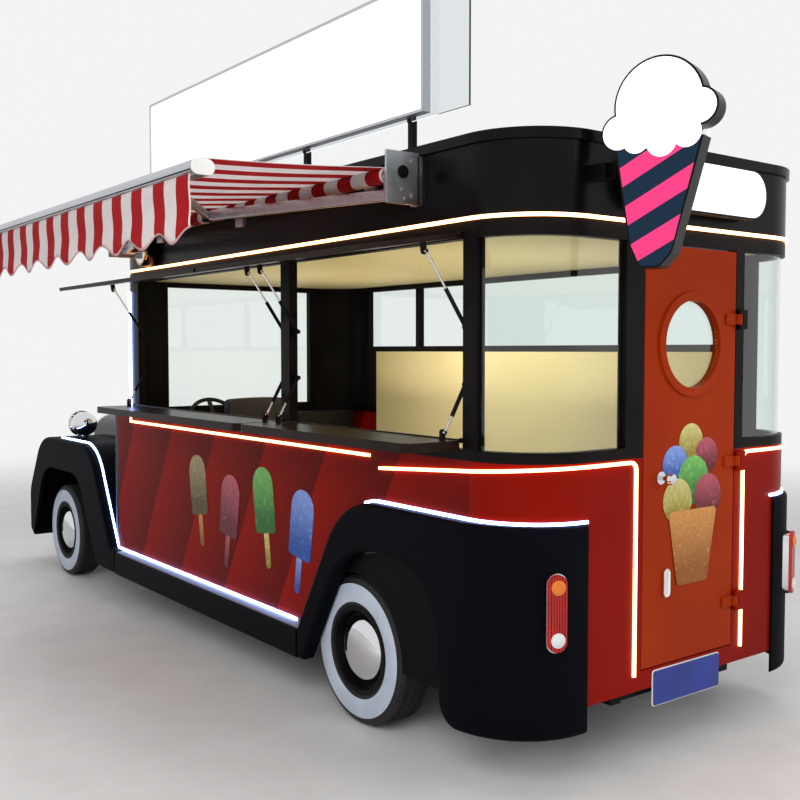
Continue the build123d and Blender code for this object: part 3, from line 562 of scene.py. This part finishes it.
# %% Roof sheet: a turn on the roller, then out to the front bar
roller_y, roller_z, roll_radius = 1080, 2550, 33.5
layer_rise = 0.004      # per degree of turn
sag, sag_from, sag_length = 0.010, at(0, roller_y + 40, 0).y, 0.80
roll = []
for degrees in range(435, 89, -15):
    angle, radius = math.radians(degrees), roll_radius - layer_rise * (degrees - 90)
    roll.append((roller_y + radius * math.cos(angle), roller_z + radius * math.sin(angle)))
run_out = [(1190, 2576.5), (1400, 2563), (1600, 2550), (1800, 2537), (1900, 2530.5), (1935, 2526),
           (1965, 2524)]
mesh, roof_length = hang_sheet(roll + run_out)
for vert in mesh.verts:
    reach = (vert.co.y - sag_from) / sag_length
    if 0 < reach < 1:
        along = (vert.co.x - awning_rear) / cloth_span
        vert.co.z -= sag * math.sin(math.pi * reach) * (0.6 + 0.4 * math.sin(math.pi * along))
no_binding = 9.0
hang_up("awning_canvas", mesh, canvas("striped_acrylic_canvas", no_binding), roof_length)

# %% Valance: hangs from the bar and ends in waves
valance_top, hem, valance_rows = 2464, 2208, 9
valance_y, binding_width = 1999, 0.012
wave_period, wave_lift = 0.299, 0.026
flutter_period, flutter = 0.43, 0.005
profile = [(valance_y + 2.5 * math.sin(row), valance_top + (hem - valance_top) * row / valance_rows)
           for row in range(valance_rows + 1)]
mesh, valance_length = hang_sheet(profile)
for vert in mesh.verts:
    along = vert.co.x - awning_rear
    share = (valance_top / 1000 - vert.co.z) / (valance_top - hem) * 1000
    lift = wave_lift * (1 + math.cos(math.tau * (along - 0.003) / wave_period))
    vert.co.z += lift * share ** 2
    vert.co.y += flutter * math.sin(math.tau * along / flutter_period) * share
bound_canvas = canvas("striped_valance_canvas", valance_length - binding_width)
hang_up("awning_valance", mesh, bound_canvas, valance_length)

# %% [markdown]
# ## Awning hardware
# A plate at each end carries the roller. Two arms fold out between them on shoulders, each with a dark
# elbow joint, and push the front bar away from the wall. The front bar is a drawn aluminium profile with
# white plastic end caps and a groove that holds the valance. Bars are plates drawn out long, and are
# turned to lie along the truck or along the arm.

# %% Rounded plates, bars and tubes
def rounded_plate(width, height, depth, rounding, segments=10, foot=None):
    """A bmesh plate in millimetres round the origin, its face towards Y, its corners rounded. A foot is
    the rounding of its lower corners where that differs."""
    mesh = bmesh.new()
    size = (width / 1000, depth / 1000, height / 1000)
    bmesh.ops.create_cube(mesh, size=1.0, matrix=Matrix.Diagonal((*size, 1.0)))
    for sign, offset in [(1, rounding), (-1, foot)] if foot else [(0, rounding)]:
        corners = [e for e in mesh.edges if abs(e.verts[0].co.y - e.verts[1].co.y) > size[1] / 2
                   and sign * e.verts[0].co.z >= abs(sign) * size[2] * 0.49]
        bmesh.ops.bevel(mesh, geom=corners, offset=offset / 1000, affect="EDGES", segments=segments,
                        profile=0.5, material=-1)
    return mesh


def awning_piece(name, mesh, centre, turn=None, material=anodised, bevel=0.0):
    """A piece of the awning's frame, which takes over from the plain one."""
    piece = finish_piece(name, mesh, material, centre, turn, bevel=bevel)
    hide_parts("awning_frame")


face_back = Matrix.Rotation(math.pi / 2, 4, "Z")
face_front = Matrix.Rotation(-math.pi / 2, 4, "Z")
bar_y, bar_z = 1950, 2492
middle_x = (cloth_rear + cloth_front) / 2
plate_faces = {"rear": 645, "front": 3746}
roller = turned([(-1538, 0), (-1538, 30), (1538, 30), (1538, 0)], 32)
awning_piece("roller_tube", roller, at(middle_x, roller_y, roller_z), face_back)
awning_piece("square_bar", rounded_plate(38, 38, 3076, 4, 3), at(middle_x, 1019, 2554), face_back)
awning_piece("front_bar", rounded_plate(100, 61, 2887, 30), at(middle_x, bar_y, bar_z), face_back)
for x in (1000, 2245, 3300):
    awning_piece(f"wall_bracket_{x}", rounded_plate(80, 140, 27, 6, 3), at(x, 987.5, 2550), bevel=0.002)
for end, face in plate_faces.items():
    inward = 1 if end == "rear" else -1
    plate = rounded_plate(173, 221, 12, 5, 3)
    awning_piece("end_plate_" + end, plate, at(face + 6 * inward, 1078.5, 2525.5), face_back, zinc, 0.001)
    leg = rounded_plate(52, 212, 26, 3, 3)
    awning_piece("wall_leg_" + end, leg, at(face + 26 * inward, 987, 2521), None, zinc)
for name, x, turn in (("rear", cloth_rear - 8, face_back), ("front", cloth_front + 8, face_front)):
    finish_piece("bar_cap_" + name, rounded_plate(100, 61, 5, 30), white_plastic,
                 at(x, bar_y, bar_z), turn, bevel=0.0012)
finish_piece("valance_groove", rounded_plate(2876, 5, 3, 2, 3), frame_coat,
             at(middle_x, 2000.4, 2479))
print("plates and bars placed")

# %% Folding arms
def arm_beam(name, start, end, width, height):
    """A drawn bar from one point to another."""
    run = end - start
    mesh = rounded_plate(width, height, run.length * 1000, 6, 3)
    awning_piece(name, mesh, (start + end) / 2, run.to_track_quat("Y", "Z").to_matrix().to_4x4())


lying = Matrix.Rotation(math.pi / 2, 4, "X")
arm_z, elbow_y = 2466, 1390
elbow_profile = [(-31, 0), (-31, 24), (-27, 28), (27, 28), (31, 24), (31, 0)]
for end, shoulder_x, elbow_x, tip_x in (("rear", 731, 1840, 1150), ("front", 3660, 2551, 3241)):
    elbow = at(elbow_x, elbow_y, arm_z)
    shoulder = rounded_plate(70, 101, 92, 10, 4)
    awning_piece("shoulder_" + end, shoulder, at(shoulder_x, 1046, 2486), bevel=0.002)
    arm_beam("upper_arm_" + end, at(shoulder_x, 1070, arm_z), elbow, 28, 50)
    arm_beam("forearm_" + end, elbow, at(tip_x, bar_y - 34, bar_z - 8), 28, 38)
    awning_piece("elbow_" + end, turned(elbow_profile, 32), elbow, lying, frame_coat)
print("arms:", 2)

# %% Bearings and bolts of the end plates
def bolt_head(radius, height):
    """A hexagon head with its washer, its top towards Y."""
    mesh = bmesh.new()
    upright = Matrix.Rotation(-math.pi / 2, 4, "X")
    bmesh.ops.create_cone(mesh, cap_ends=True, segments=24, radius1=radius * 1.45 / 1000,
                          radius2=radius * 1.4 / 1000, depth=0.002, matrix=upright)
    move(mesh, (0, 0.001, 0))
    head = bmesh.ops.create_cone(mesh, cap_ends=True, segments=6, radius1=radius / 1000,
                                 radius2=radius * 0.92 / 1000, depth=height / 1000, matrix=upright)["verts"]
    move(mesh, (0, 0.002 + height / 2000, 0), head)
    return mesh


bearing_profile = [(0, 27), (7, 27), (9, 25), (9, 18), (14, 16), (14, 8), (11, 6), (11, 0)]
bolt_places = [(1030, 2600), (1030, 2455), (1080, 2478), (1066, 2440)]
for end, turn in (("rear", face_back), ("front", face_front)):
    x = plate_faces[end]
    finish_piece("roller_bearing_" + end, turned(bearing_profile, 32), frame_coat,
                 at(x, roller_y, roller_z), turn)
    for number, (y, z) in enumerate(bolt_places):
        finish_piece(f"plate_bolt_{end}_{number}", bolt_head(8, 6), zinc,
                     at(x, y, z), turn)
print("bearings and bolts:", 2, "and", 2 * len(bolt_places))

# %% [markdown]
# ## Printed motifs
# The side and the door carry cut vinyl motifs in sorbet colours, each printed with the light and shade
# of churned ice. The print follows the piece's own UV map, from 0 to 1 across and up: the map's height
# gives the light from above, and noise with deep folds gives the ridges that a scoop leaves.

# %% Sorbet prints
def with_print(mesh):
    """The same bmesh, still at the origin, with a UV map laid over it: 0 to 1 across and up."""
    layer = mesh.loops.layers.uv.new("print")
    low_x, low_z = min(v.co.x for v in mesh.verts), min(v.co.z for v in mesh.verts)
    width = max(v.co.x for v in mesh.verts) - low_x
    height = max(v.co.z for v in mesh.verts) - low_z
    for face in mesh.faces:
        for loop in face.loops:
            loop[layer].uv = ((loop.vert.co.x - low_x) / width, (loop.vert.co.z - low_z) / height)
    return mesh


def sorbet(name, dark, light, folds=30):
    """A printed picture of churned ice: folds of about 20 mm, light above and dark below."""
    material, shader = new_material(name, light, 0.4, shine=0.3)
    spot = add_node(material, "UVMap", uv_map="print").outputs[0]
    noise = add_node(material, "TexNoise", {
        "Vector": object_point(material), "Scale": folds, "Detail": 3.0, "Roughness": 0.45,
        "Distortion": 0.6}, noise_type="RIDGED_MULTIFRACTAL")
    ridges = calculate(material, "MULTIPLY", noise.outputs[0], 0.9)
    shade = calculate(material, "ADD", ridges, split(material, spot)["Y"])
    tint(material, shader, shade, dark, light, 0.25, 1.6)
    return material


tones = {"pistachio": ("#4d3f1e", "#c9b784"), "raspberry": ("#5c1220", "#d46a7c"),
         "lime": ("#226022", "#8fdc74"), "blueberry": ("#244a9c", "#a4c0ff"),
         "vanilla": ("#8c7c2c", "#f0e89a"), "wafer": ("#8a4f1c", "#e4a65c", 60)}
flavours = {name: sorbet("sorbet_print_" + name, *tone) for name, tone in tones.items()}
print("flavours:", ", ".join(flavours))

# %% [markdown]
# Four ice lollies lean to and fro along the serving side, high and low in turn, over the rays. A lolly is
# a plate that is round at its top and nearly square at its foot.

# %% Lollies on the serving side
lollies = [("pistachio", "wafer", 2830, 985, 8), ("raspberry", "raspberry", 2425, 905, -8),
           ("lime", "vanilla", 2030, 985, 8), ("blueberry", "blueberry", 1640, 905, -8)]
stick_drop = Vector((0, 0, -0.270))
for flavour, stick_flavour, x, z, lean in lollies:
    turn = Matrix.Rotation(math.radians(lean), 4, "Y")
    stick = with_print(rounded_plate(50, 200, 2, 20, 12, 24))
    finish_piece("lolly_stick_" + flavour, stick, flavours[stick_flavour],
                 at(x, half_width + 1.0, z) + turn @ stick_drop, turn)
    ice = with_print(rounded_plate(215, 360, 3.4, 104, 12, 26))
    finish_piece("lolly_" + flavour, ice, flavours[flavour], at(x, half_width + 1.7, z), turn)
print("lollies:", len(lollies))

# %% [markdown]
# The door has a paper tub with scoops. The tub is a plate whose lower edge is drawn in, and the
# scoops are flat discs laid over each other like cut paper.

# %% Tub with scoops on the door
def disc(radius, depth):
    """A flat round bmesh in millimetres round the origin, its face towards Y."""
    mesh = bmesh.new()
    bmesh.ops.create_cone(mesh, cap_ends=True, segments=48, radius1=radius / 1000, radius2=radius / 1000,
                          depth=depth / 1000, matrix=lying)
    return mesh


scoops = [("vanilla", 62, 1140, 98), ("raspberry", -152, 1150, 96), ("lime", -48, 1225, 108),
          ("blueberry", 80, 1300, 84), ("raspberry", -140, 1330, 80), ("vanilla", -30, 1395, 82)]
for number, (flavour, y, z, radius) in enumerate(scoops):
    finish_piece(f"door_scoop_{number}", with_print(disc(radius, 2)), flavours[flavour],
                 at(-1.0 - 0.4 * (len(scoops) - number), y, z), face_back, body="door")
tub = rounded_plate(330, 330, 2, 20, 4)
bmesh.ops.scale(tub, vec=(0.66, 1, 1), verts=[v for v in tub.verts if v.co.z < 0])
finish_piece("door_tub", with_print(tub), flavours["wafer"], at(-5.0, -45, 930), face_back,
             body="door")
print("door motif:", len(scoops), "scoops")

# %% [markdown]
# ## Signs
# The signs on the real truck are lit boxes with words. Here they are blank: a milky face that glows
# evenly, in a black or drawn aluminium rim. The cone sign is a soft-ice shape: a lit scoop with lobes and
# a leaning cone in candy stripes of pink and navy.

# %% Faces of the pill sign and the roof sign
def thicken(mesh, step):
    """Extrudes a flat bmesh by a step."""
    made = bmesh.ops.extrude_face_region(mesh, geom=list(mesh.faces))["geom"]
    move(mesh, step, [v for v in made if isinstance(v, bmesh.types.BMVert)])


def square_rim(width, height, band, depth):
    """A bmesh frame round an open middle, in millimetres, its face towards Y."""
    mesh = bmesh.new()
    size = Matrix.Diagonal((width / 1000, height / 1000, 1.0, 1.0))
    bmesh.ops.create_grid(mesh, x_segments=1, y_segments=1, size=0.5, matrix=lying @ size)
    middle = list(mesh.faces)
    bmesh.ops.inset_region(mesh, faces=middle, thickness=band / 1000, use_boundary=True, use_even_offset=True)
    bmesh.ops.delete(mesh, geom=middle, context="FACES")
    thicken(mesh, (0, depth / 1000, 0))
    move(mesh, (0, -depth / 2000, 0))
    return mesh


finish_piece("pill_face", rounded_plate(900, 206, 4, 100, 16), lit_face,
             at(-76.5, 0, 2497), face_back)
finish_piece("roof_sign_rim", square_rim(2926, 582, 14, 46), anodised,
             at(2200, 878.5, 3135), bevel=0.0015)
print("lit faces:", 2)

# %% [markdown]
# The cone's stripes are a wave texture whose soft waves are cut to hard steps, turned by a Mapping node so
# that they wind up the cone. They follow the cone's own UV map, and glow faintly in their own colours.

# %% Candy stripes
def candy_stripes(name):
    """Printed film in pink and navy stripes that lean across the cone."""
    material, shader = new_material(name, "#e8417c", 0.35, shine=0.1)
    spot = add_node(material, "UVMap", uv_map="print").outputs[0]
    wave = bands(material, spot, (0.0, 0.0, 0.35), "Y", "SIN", 0.98, 2.2)
    stripes = tint(material, shader, wave, "#16293c", "#ec3f7e", 0.495, 0.505)
    fill_sockets(shader, {"Emission Color": stripes, "Emission Strength": 0.12})
    return material


candy = candy_stripes("candy_striped_film")
print("cone film:", candy.name)

# %% Scoop and cone on both faces of the hanging sign
sign_turn = Matrix.Rotation(math.atan2(0.291, 0.957), 4, "Z")
sign_place = at(-295, 588, 0)
sign_depth = 80
cone_corners = [(167, 2588), (-166, 2588), (-56, 2172), (-10, 2120), (66, 2120), (104, 2203)]
scoop_discs = [(0, 2727, 170), (-158, 2697, 64), (157, 2634, 65), (-112, 2606, 56), (-14, 2586, 60),
               (86, 2602, 54)]
for face_name, plane, outward in (("front", 0.0, 1.0), ("back", -sign_depth / 1000, -1.0)):
    cone = bmesh.new()
    cone.faces.new([cone.verts.new((s / 1000, 0, z / 1000)) for s, z in cone_corners])
    bmesh.ops.bevel(cone, geom=list(cone.verts), offset=0.012, affect="VERTICES", segments=4, profile=0.5,
                    material=-1)
    thicken(cone, (0, 0.0015 * outward, 0))
    move(with_print(cone), (0, plane, 0))
    finish_piece("cone_film_" + face_name, cone, candy, sign_place, sign_turn)
    for number, (s, z, radius) in enumerate(scoop_discs):
        lobe = disc(radius, 2.4 + 0.4 * number)
        lift = plane + outward * (0.0012 + 0.0002 * number)
        move(lobe, (s / 1000, lift, z / 1000))
        finish_piece(f"scoop_{face_name}_{number}", lobe, lit_face, sign_place,
                     sign_turn)
print("cone sign:", 2, "faces")

# %% [markdown]
# ## Lamps
# Tail lamps are slim upright lenses with round ends in a thin chromed edge: red all over with upright ribs
# that spread the light, a small amber dome near the top and a clear one near the foot. The ribs are made by
# cutting the face into bands and raising each band by an inset. Headlamps get a domed lens and the roof
# lamps a black drum with a brass ring.

# %% Tail lamps
lamp_angle = math.radians(21.7)
corner_x, corner_y, lamp_z = 368, 664, 762
dome_profile = [(0, 30), (4, 30), (5, 27), (9, 21), (12, 15), (13, 0)]


def ribbed_lens(width, height, rounding, ribs):
    """A tall lens with upright ribs and round ends, its face towards Y."""
    mesh = rounded_plate(width, height, 14, rounding)
    for rib in range(1, ribs):
        side = (rib / ribs - 0.5) * width / 1000
        bmesh.ops.bisect_plane(mesh, geom=list(mesh.verts) + list(mesh.edges) + list(mesh.faces),
                               plane_co=(side, 0, 0), plane_no=(1, 0, 0))
    ribbed = [f for f in mesh.faces if f.normal.y > 0.9]
    bmesh.ops.inset_individual(mesh, faces=ribbed, thickness=0.0018, depth=0.003, use_even_offset=True)
    return mesh


for side, sign in sides.items():
    turn = Matrix.Rotation(math.pi / 2 - sign * lamp_angle, 4, "Z")
    for name, mesh, reach, up, material in (
            ("housing", rounded_plate(88, 317, 28, 43), 392, 0, chrome),
            ("red", ribbed_lens(80, 309, 39, 7), 411, 0, red_lens),
            ("amber", turned(dome_profile, 32), 420, 105, amber_lens),
            ("clear", turned(dome_profile, 32), 420, -105, clear_lens)):
        x = corner_x - reach * math.cos(lamp_angle)
        y = corner_y + reach * math.sin(lamp_angle)
        piece = finish_piece(f"tail_{name}_{side}", mesh, material,
                             at(x, sign * y, lamp_z + up), turn)
        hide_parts("tail_lamps")
print("tail lamps:", 2)

# %% Headlamp lenses and roof lamps
lens_profile = [(-6, 90), (2, 90), (9, 78), (15, 56), (19, 28), (20, 0)]
ring_profile = [(-14, 102), (0, 102.5), (3, 99), (3, 91), (-2, 90), (-2, 96), (-14, 102)]
drum_profile = [(0, 94.2), (58, 94.2), (61.5, 91), (61.5, 84), (0.5, 84)]
hoop_profile = [(61, 90), (66, 91), (71, 88), (74.2, 82), (74.2, 74), (72, 73), (66, 83.5), (61, 84),
                (61, 90)]
for side, sign in sides.items():
    headlamp, roof_lamp = at(5336, sign * 800, 1208), at(3500, sign * half_width, 2438)
    for name, profile, material, slot, centre, turn, mirrored in (
            ("headlamp_lens_", lens_profile, clear_lens, "glass", headlamp, face_front, False),
            ("headlamp_ring_", ring_profile, chrome, "chrome", headlamp, face_front, False),
            ("roof_lamp_drum_", drum_profile, black_enamel, "black_paint", roof_lamp, None, sign < 0),
            ("roof_lamp_hoop_", hoop_profile, brass, "chrome", roof_lamp, None, sign < 0)):
        finish_piece(name + side, turned(profile, 48), material, centre, turn, mirrored)
print("front and roof lamps dressed")

# %% [markdown]
# ## Small plates
# The plate under the door is blank blue enamel in a thin pale frame. The pull is a white oval shell with a
# hollow face that the fingers hook behind.

# %% Plate frame and door pull
finish_piece("plate_backing", rounded_plate(472, 159, 5, 14, 6), white_plastic,
             at(-2.5, -17.5, 337), face_back, bevel=0.0008)
pull = rounded_plate(36, 119, 6, 18, 10)
front_face = [f for f in pull.faces if f.normal.y > 0.9]
bmesh.ops.inset_individual(pull, faces=front_face, thickness=0.006, depth=0.0)
hollow = [f for f in pull.faces if f.normal.y > 0.9 and f.calc_area() > 0.002]
move(pull, (0, -0.0035, 0), list({v for f in hollow for v in f.verts}))
finish_piece("door_pull_shell", pull, white_plastic, at(-15, 140, 790), face_back,
             bevel=0.0008, body="door")
print("plate and pull dressed")

# %% [markdown]
# ## Driver's seat
# Two pads of foam under leatherette on a steel box. Each is a cube cut into a fine grid, whose points are
# pushed out by a smooth crown and pulled in at the seams and at two sewn channels. A subdivision surface
# rounds the rest.

# %% Seat pads and box
seam_pull, channel_depth, channel_width = 0.035, 0.016, 0.022


def pad(width, depth, thick, crown, channels):
    """A crowned pad round the origin in metres: width along Y, depth along X, thick along Z."""
    mesh = bmesh.new()
    bmesh.ops.create_cube(mesh, size=1.0)
    bmesh.ops.subdivide_edges(mesh, edges=mesh.edges, cuts=15, use_grid_fill=True)
    for vert in mesh.verts:
        along, across, up = vert.co * 2
        full = max(0.0, 1 - across ** 4) * max(0.0, 1 - along ** 4)
        seam = 1 - seam_pull * (1 - up ** 2)
        groove = sum(math.exp(-((vert.co.y - c) / channel_width) ** 2) for c in channels)
        vert.co.x *= depth * seam * (1 - 0.03 * across ** 2)
        vert.co.y *= width * seam * (1 - 0.03 * along ** 2)
        vert.co.z *= (thick - 2 * crown) + (2 * crown - channel_depth * groove) * full
    bmesh.ops.smooth_vert(mesh, verts=mesh.verts, factor=0.4, use_axis_x=True, use_axis_y=True,
                          use_axis_z=True)
    return mesh


def seat_pad(name, mesh, centre, turn=None):
    """A pad in its place, covered in leatherette and rounded by a subdivision surface."""
    piece = finish_piece(name, mesh, leatherette, centre, turn)
    rounding = piece.modifiers.new("soft skin", "SUBSURF")
    rounding.levels = 1
    rounding.render_levels = 1
    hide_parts("driver_seat")


seat_pad("seat_cushion", pad(0.49, 0.46, 0.135, 0.018, (-0.22, 0.22)), at(3365, 385, 822))
lean_back = Matrix.Rotation(-math.pi / 2, 4, "Y")
seat_pad("seat_back", pad(0.48, 0.60, 0.115, 0.016, (-0.22, 0.22)), at(3140, 385, 1190), lean_back)
low, high = at(3160, 160, 431), at(3545, 610, 755)
seat_box = bmesh.new()
bmesh.ops.create_cube(seat_box, size=1.0, matrix=Matrix.Diagonal((*(high - low), 1.0)))
box = finish_piece("seat_box", seat_box, frame_coat, (low + high) / 2, bevel=0.006)
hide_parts("driver_seat")
print("seat pads:", 2)

# %% [markdown]
# ## Floor, backdrop and studio light
# A pale floor under a pale world. Near the truck the floor takes shadows like paint does; further out it
# turns into the same plain brightness as the world, so there is no horizon. The world looks nearly white
# to the camera, in mirrors and through glass, but lights the truck at a lower strength.

# %% Floor that fades into the backdrop
backdrop_level, world_light = 0.9, 0.42
fade_from, fade_to = 4.5, 13.0
white_light = (1.0, 1.0, 1.0, 1.0)


def seen_directly(material):
    """1 for rays from the camera, from mirrors and through glass, 0 for the light that falls on things."""
    path = add_node(material, "LightPath").outputs
    mirror = calculate(material, "MAXIMUM", path["Is Camera Ray"], path["Is Glossy Ray"])
    return calculate(material, "MAXIMUM", mirror, path["Is Transmission Ray"])


mesh = bmesh.new()
bmesh.ops.create_grid(mesh, x_segments=1, y_segments=1, size=60.0)
floor_data = bpy.data.meshes.new("floor")
mesh.to_mesh(floor_data)
mesh.free()
floor = new_object("floor", floor_data)
floor_paint, floor_shader = new_material("pale_studio_floor", "#d9d9d8", 0.6, shine=0.2)
tint(floor_paint, floor_shader, object_noise(floor_paint, 3, 4.0), "#dcdcdb", "#e4e4e3")
distance = add_node(floor_paint, "VectorMath", {0: object_point(floor_paint)}, operation="LENGTH")
far = rescale(floor_paint, distance.outputs["Value"], fade_from, fade_to, kind="SMOOTHSTEP")
share = calculate(floor_paint, "MULTIPLY", far, seen_directly(floor_paint))
glow = add_node(floor_paint, "Emission", {"Color": white_light, "Strength": backdrop_level})
blend = add_node(floor_paint, "MixShader", {0: share, 1: floor_shader.outputs[0], 2: glow.outputs[0]})
fill_sockets(floor_paint.node_tree.nodes["Material Output"], {"Surface": blend.outputs[0]})
floor_data.materials.append(floor_paint)

world = bpy.data.worlds.new("studio")
bpy.context.scene.world = world
world.use_nodes = True
level = rescale(world, seen_directly(world), 0.0, 1.0, world_light, backdrop_level)
fill_sockets(world.node_tree.nodes["Background"], {"Color": white_light, "Strength": level})
print("backdrop level", backdrop_level)

# %% [markdown]
# Three large soft lamps: the key from behind the camera's left shoulder, a fill from its right, and one
# high over the roof. Inside, a small warm one stands in for the ceiling lights and two more wash the
# ceiling from below. The lamps don't show in mirrors, where they would look like stickers on the glass.

# %% Lamps
def soft_lamp(name, place_mm, target_mm, size, power, tint_code="#ffffff"):
    """A large square lamp that looks at a point."""
    data = bpy.data.lights.new(name, "AREA")
    data.size = size
    data.energy = power
    data.color = colour(tint_code)[:3]
    lamp = new_object(name, data)
    lamp.location = at(*place_mm)
    lamp.rotation_euler = (at(*target_mm) - lamp.location).to_track_quat("-Z", "Y").to_euler()
    lamp.visible_camera = False
    lamp.visible_glossy = False
    lamp.visible_transmission = False


warm_white = "#fff1dc"
soft_lamp("key", (-3500, 6500, 5200), (1500, 0, 1200), 5.0, 380)
soft_lamp("fill", (-6000, -2500, 3500), (500, 0, 1300), 4.0, 150)
soft_lamp("top", (2500, 0, 9000), (2500, 0, 0), 6.0, 300)
soft_lamp("inside", (2100, -100, 2240), (2100, -100, 0), 1.2, 20, warm_white)
for x in (1000, 2900):
    soft_lamp("ceiling_wash", (x, -50, 1450), (x, -50, 2400), 1.3, 7, warm_white)
bpy.context.scene.view_settings.view_transform = "Standard"
print("studio ready")
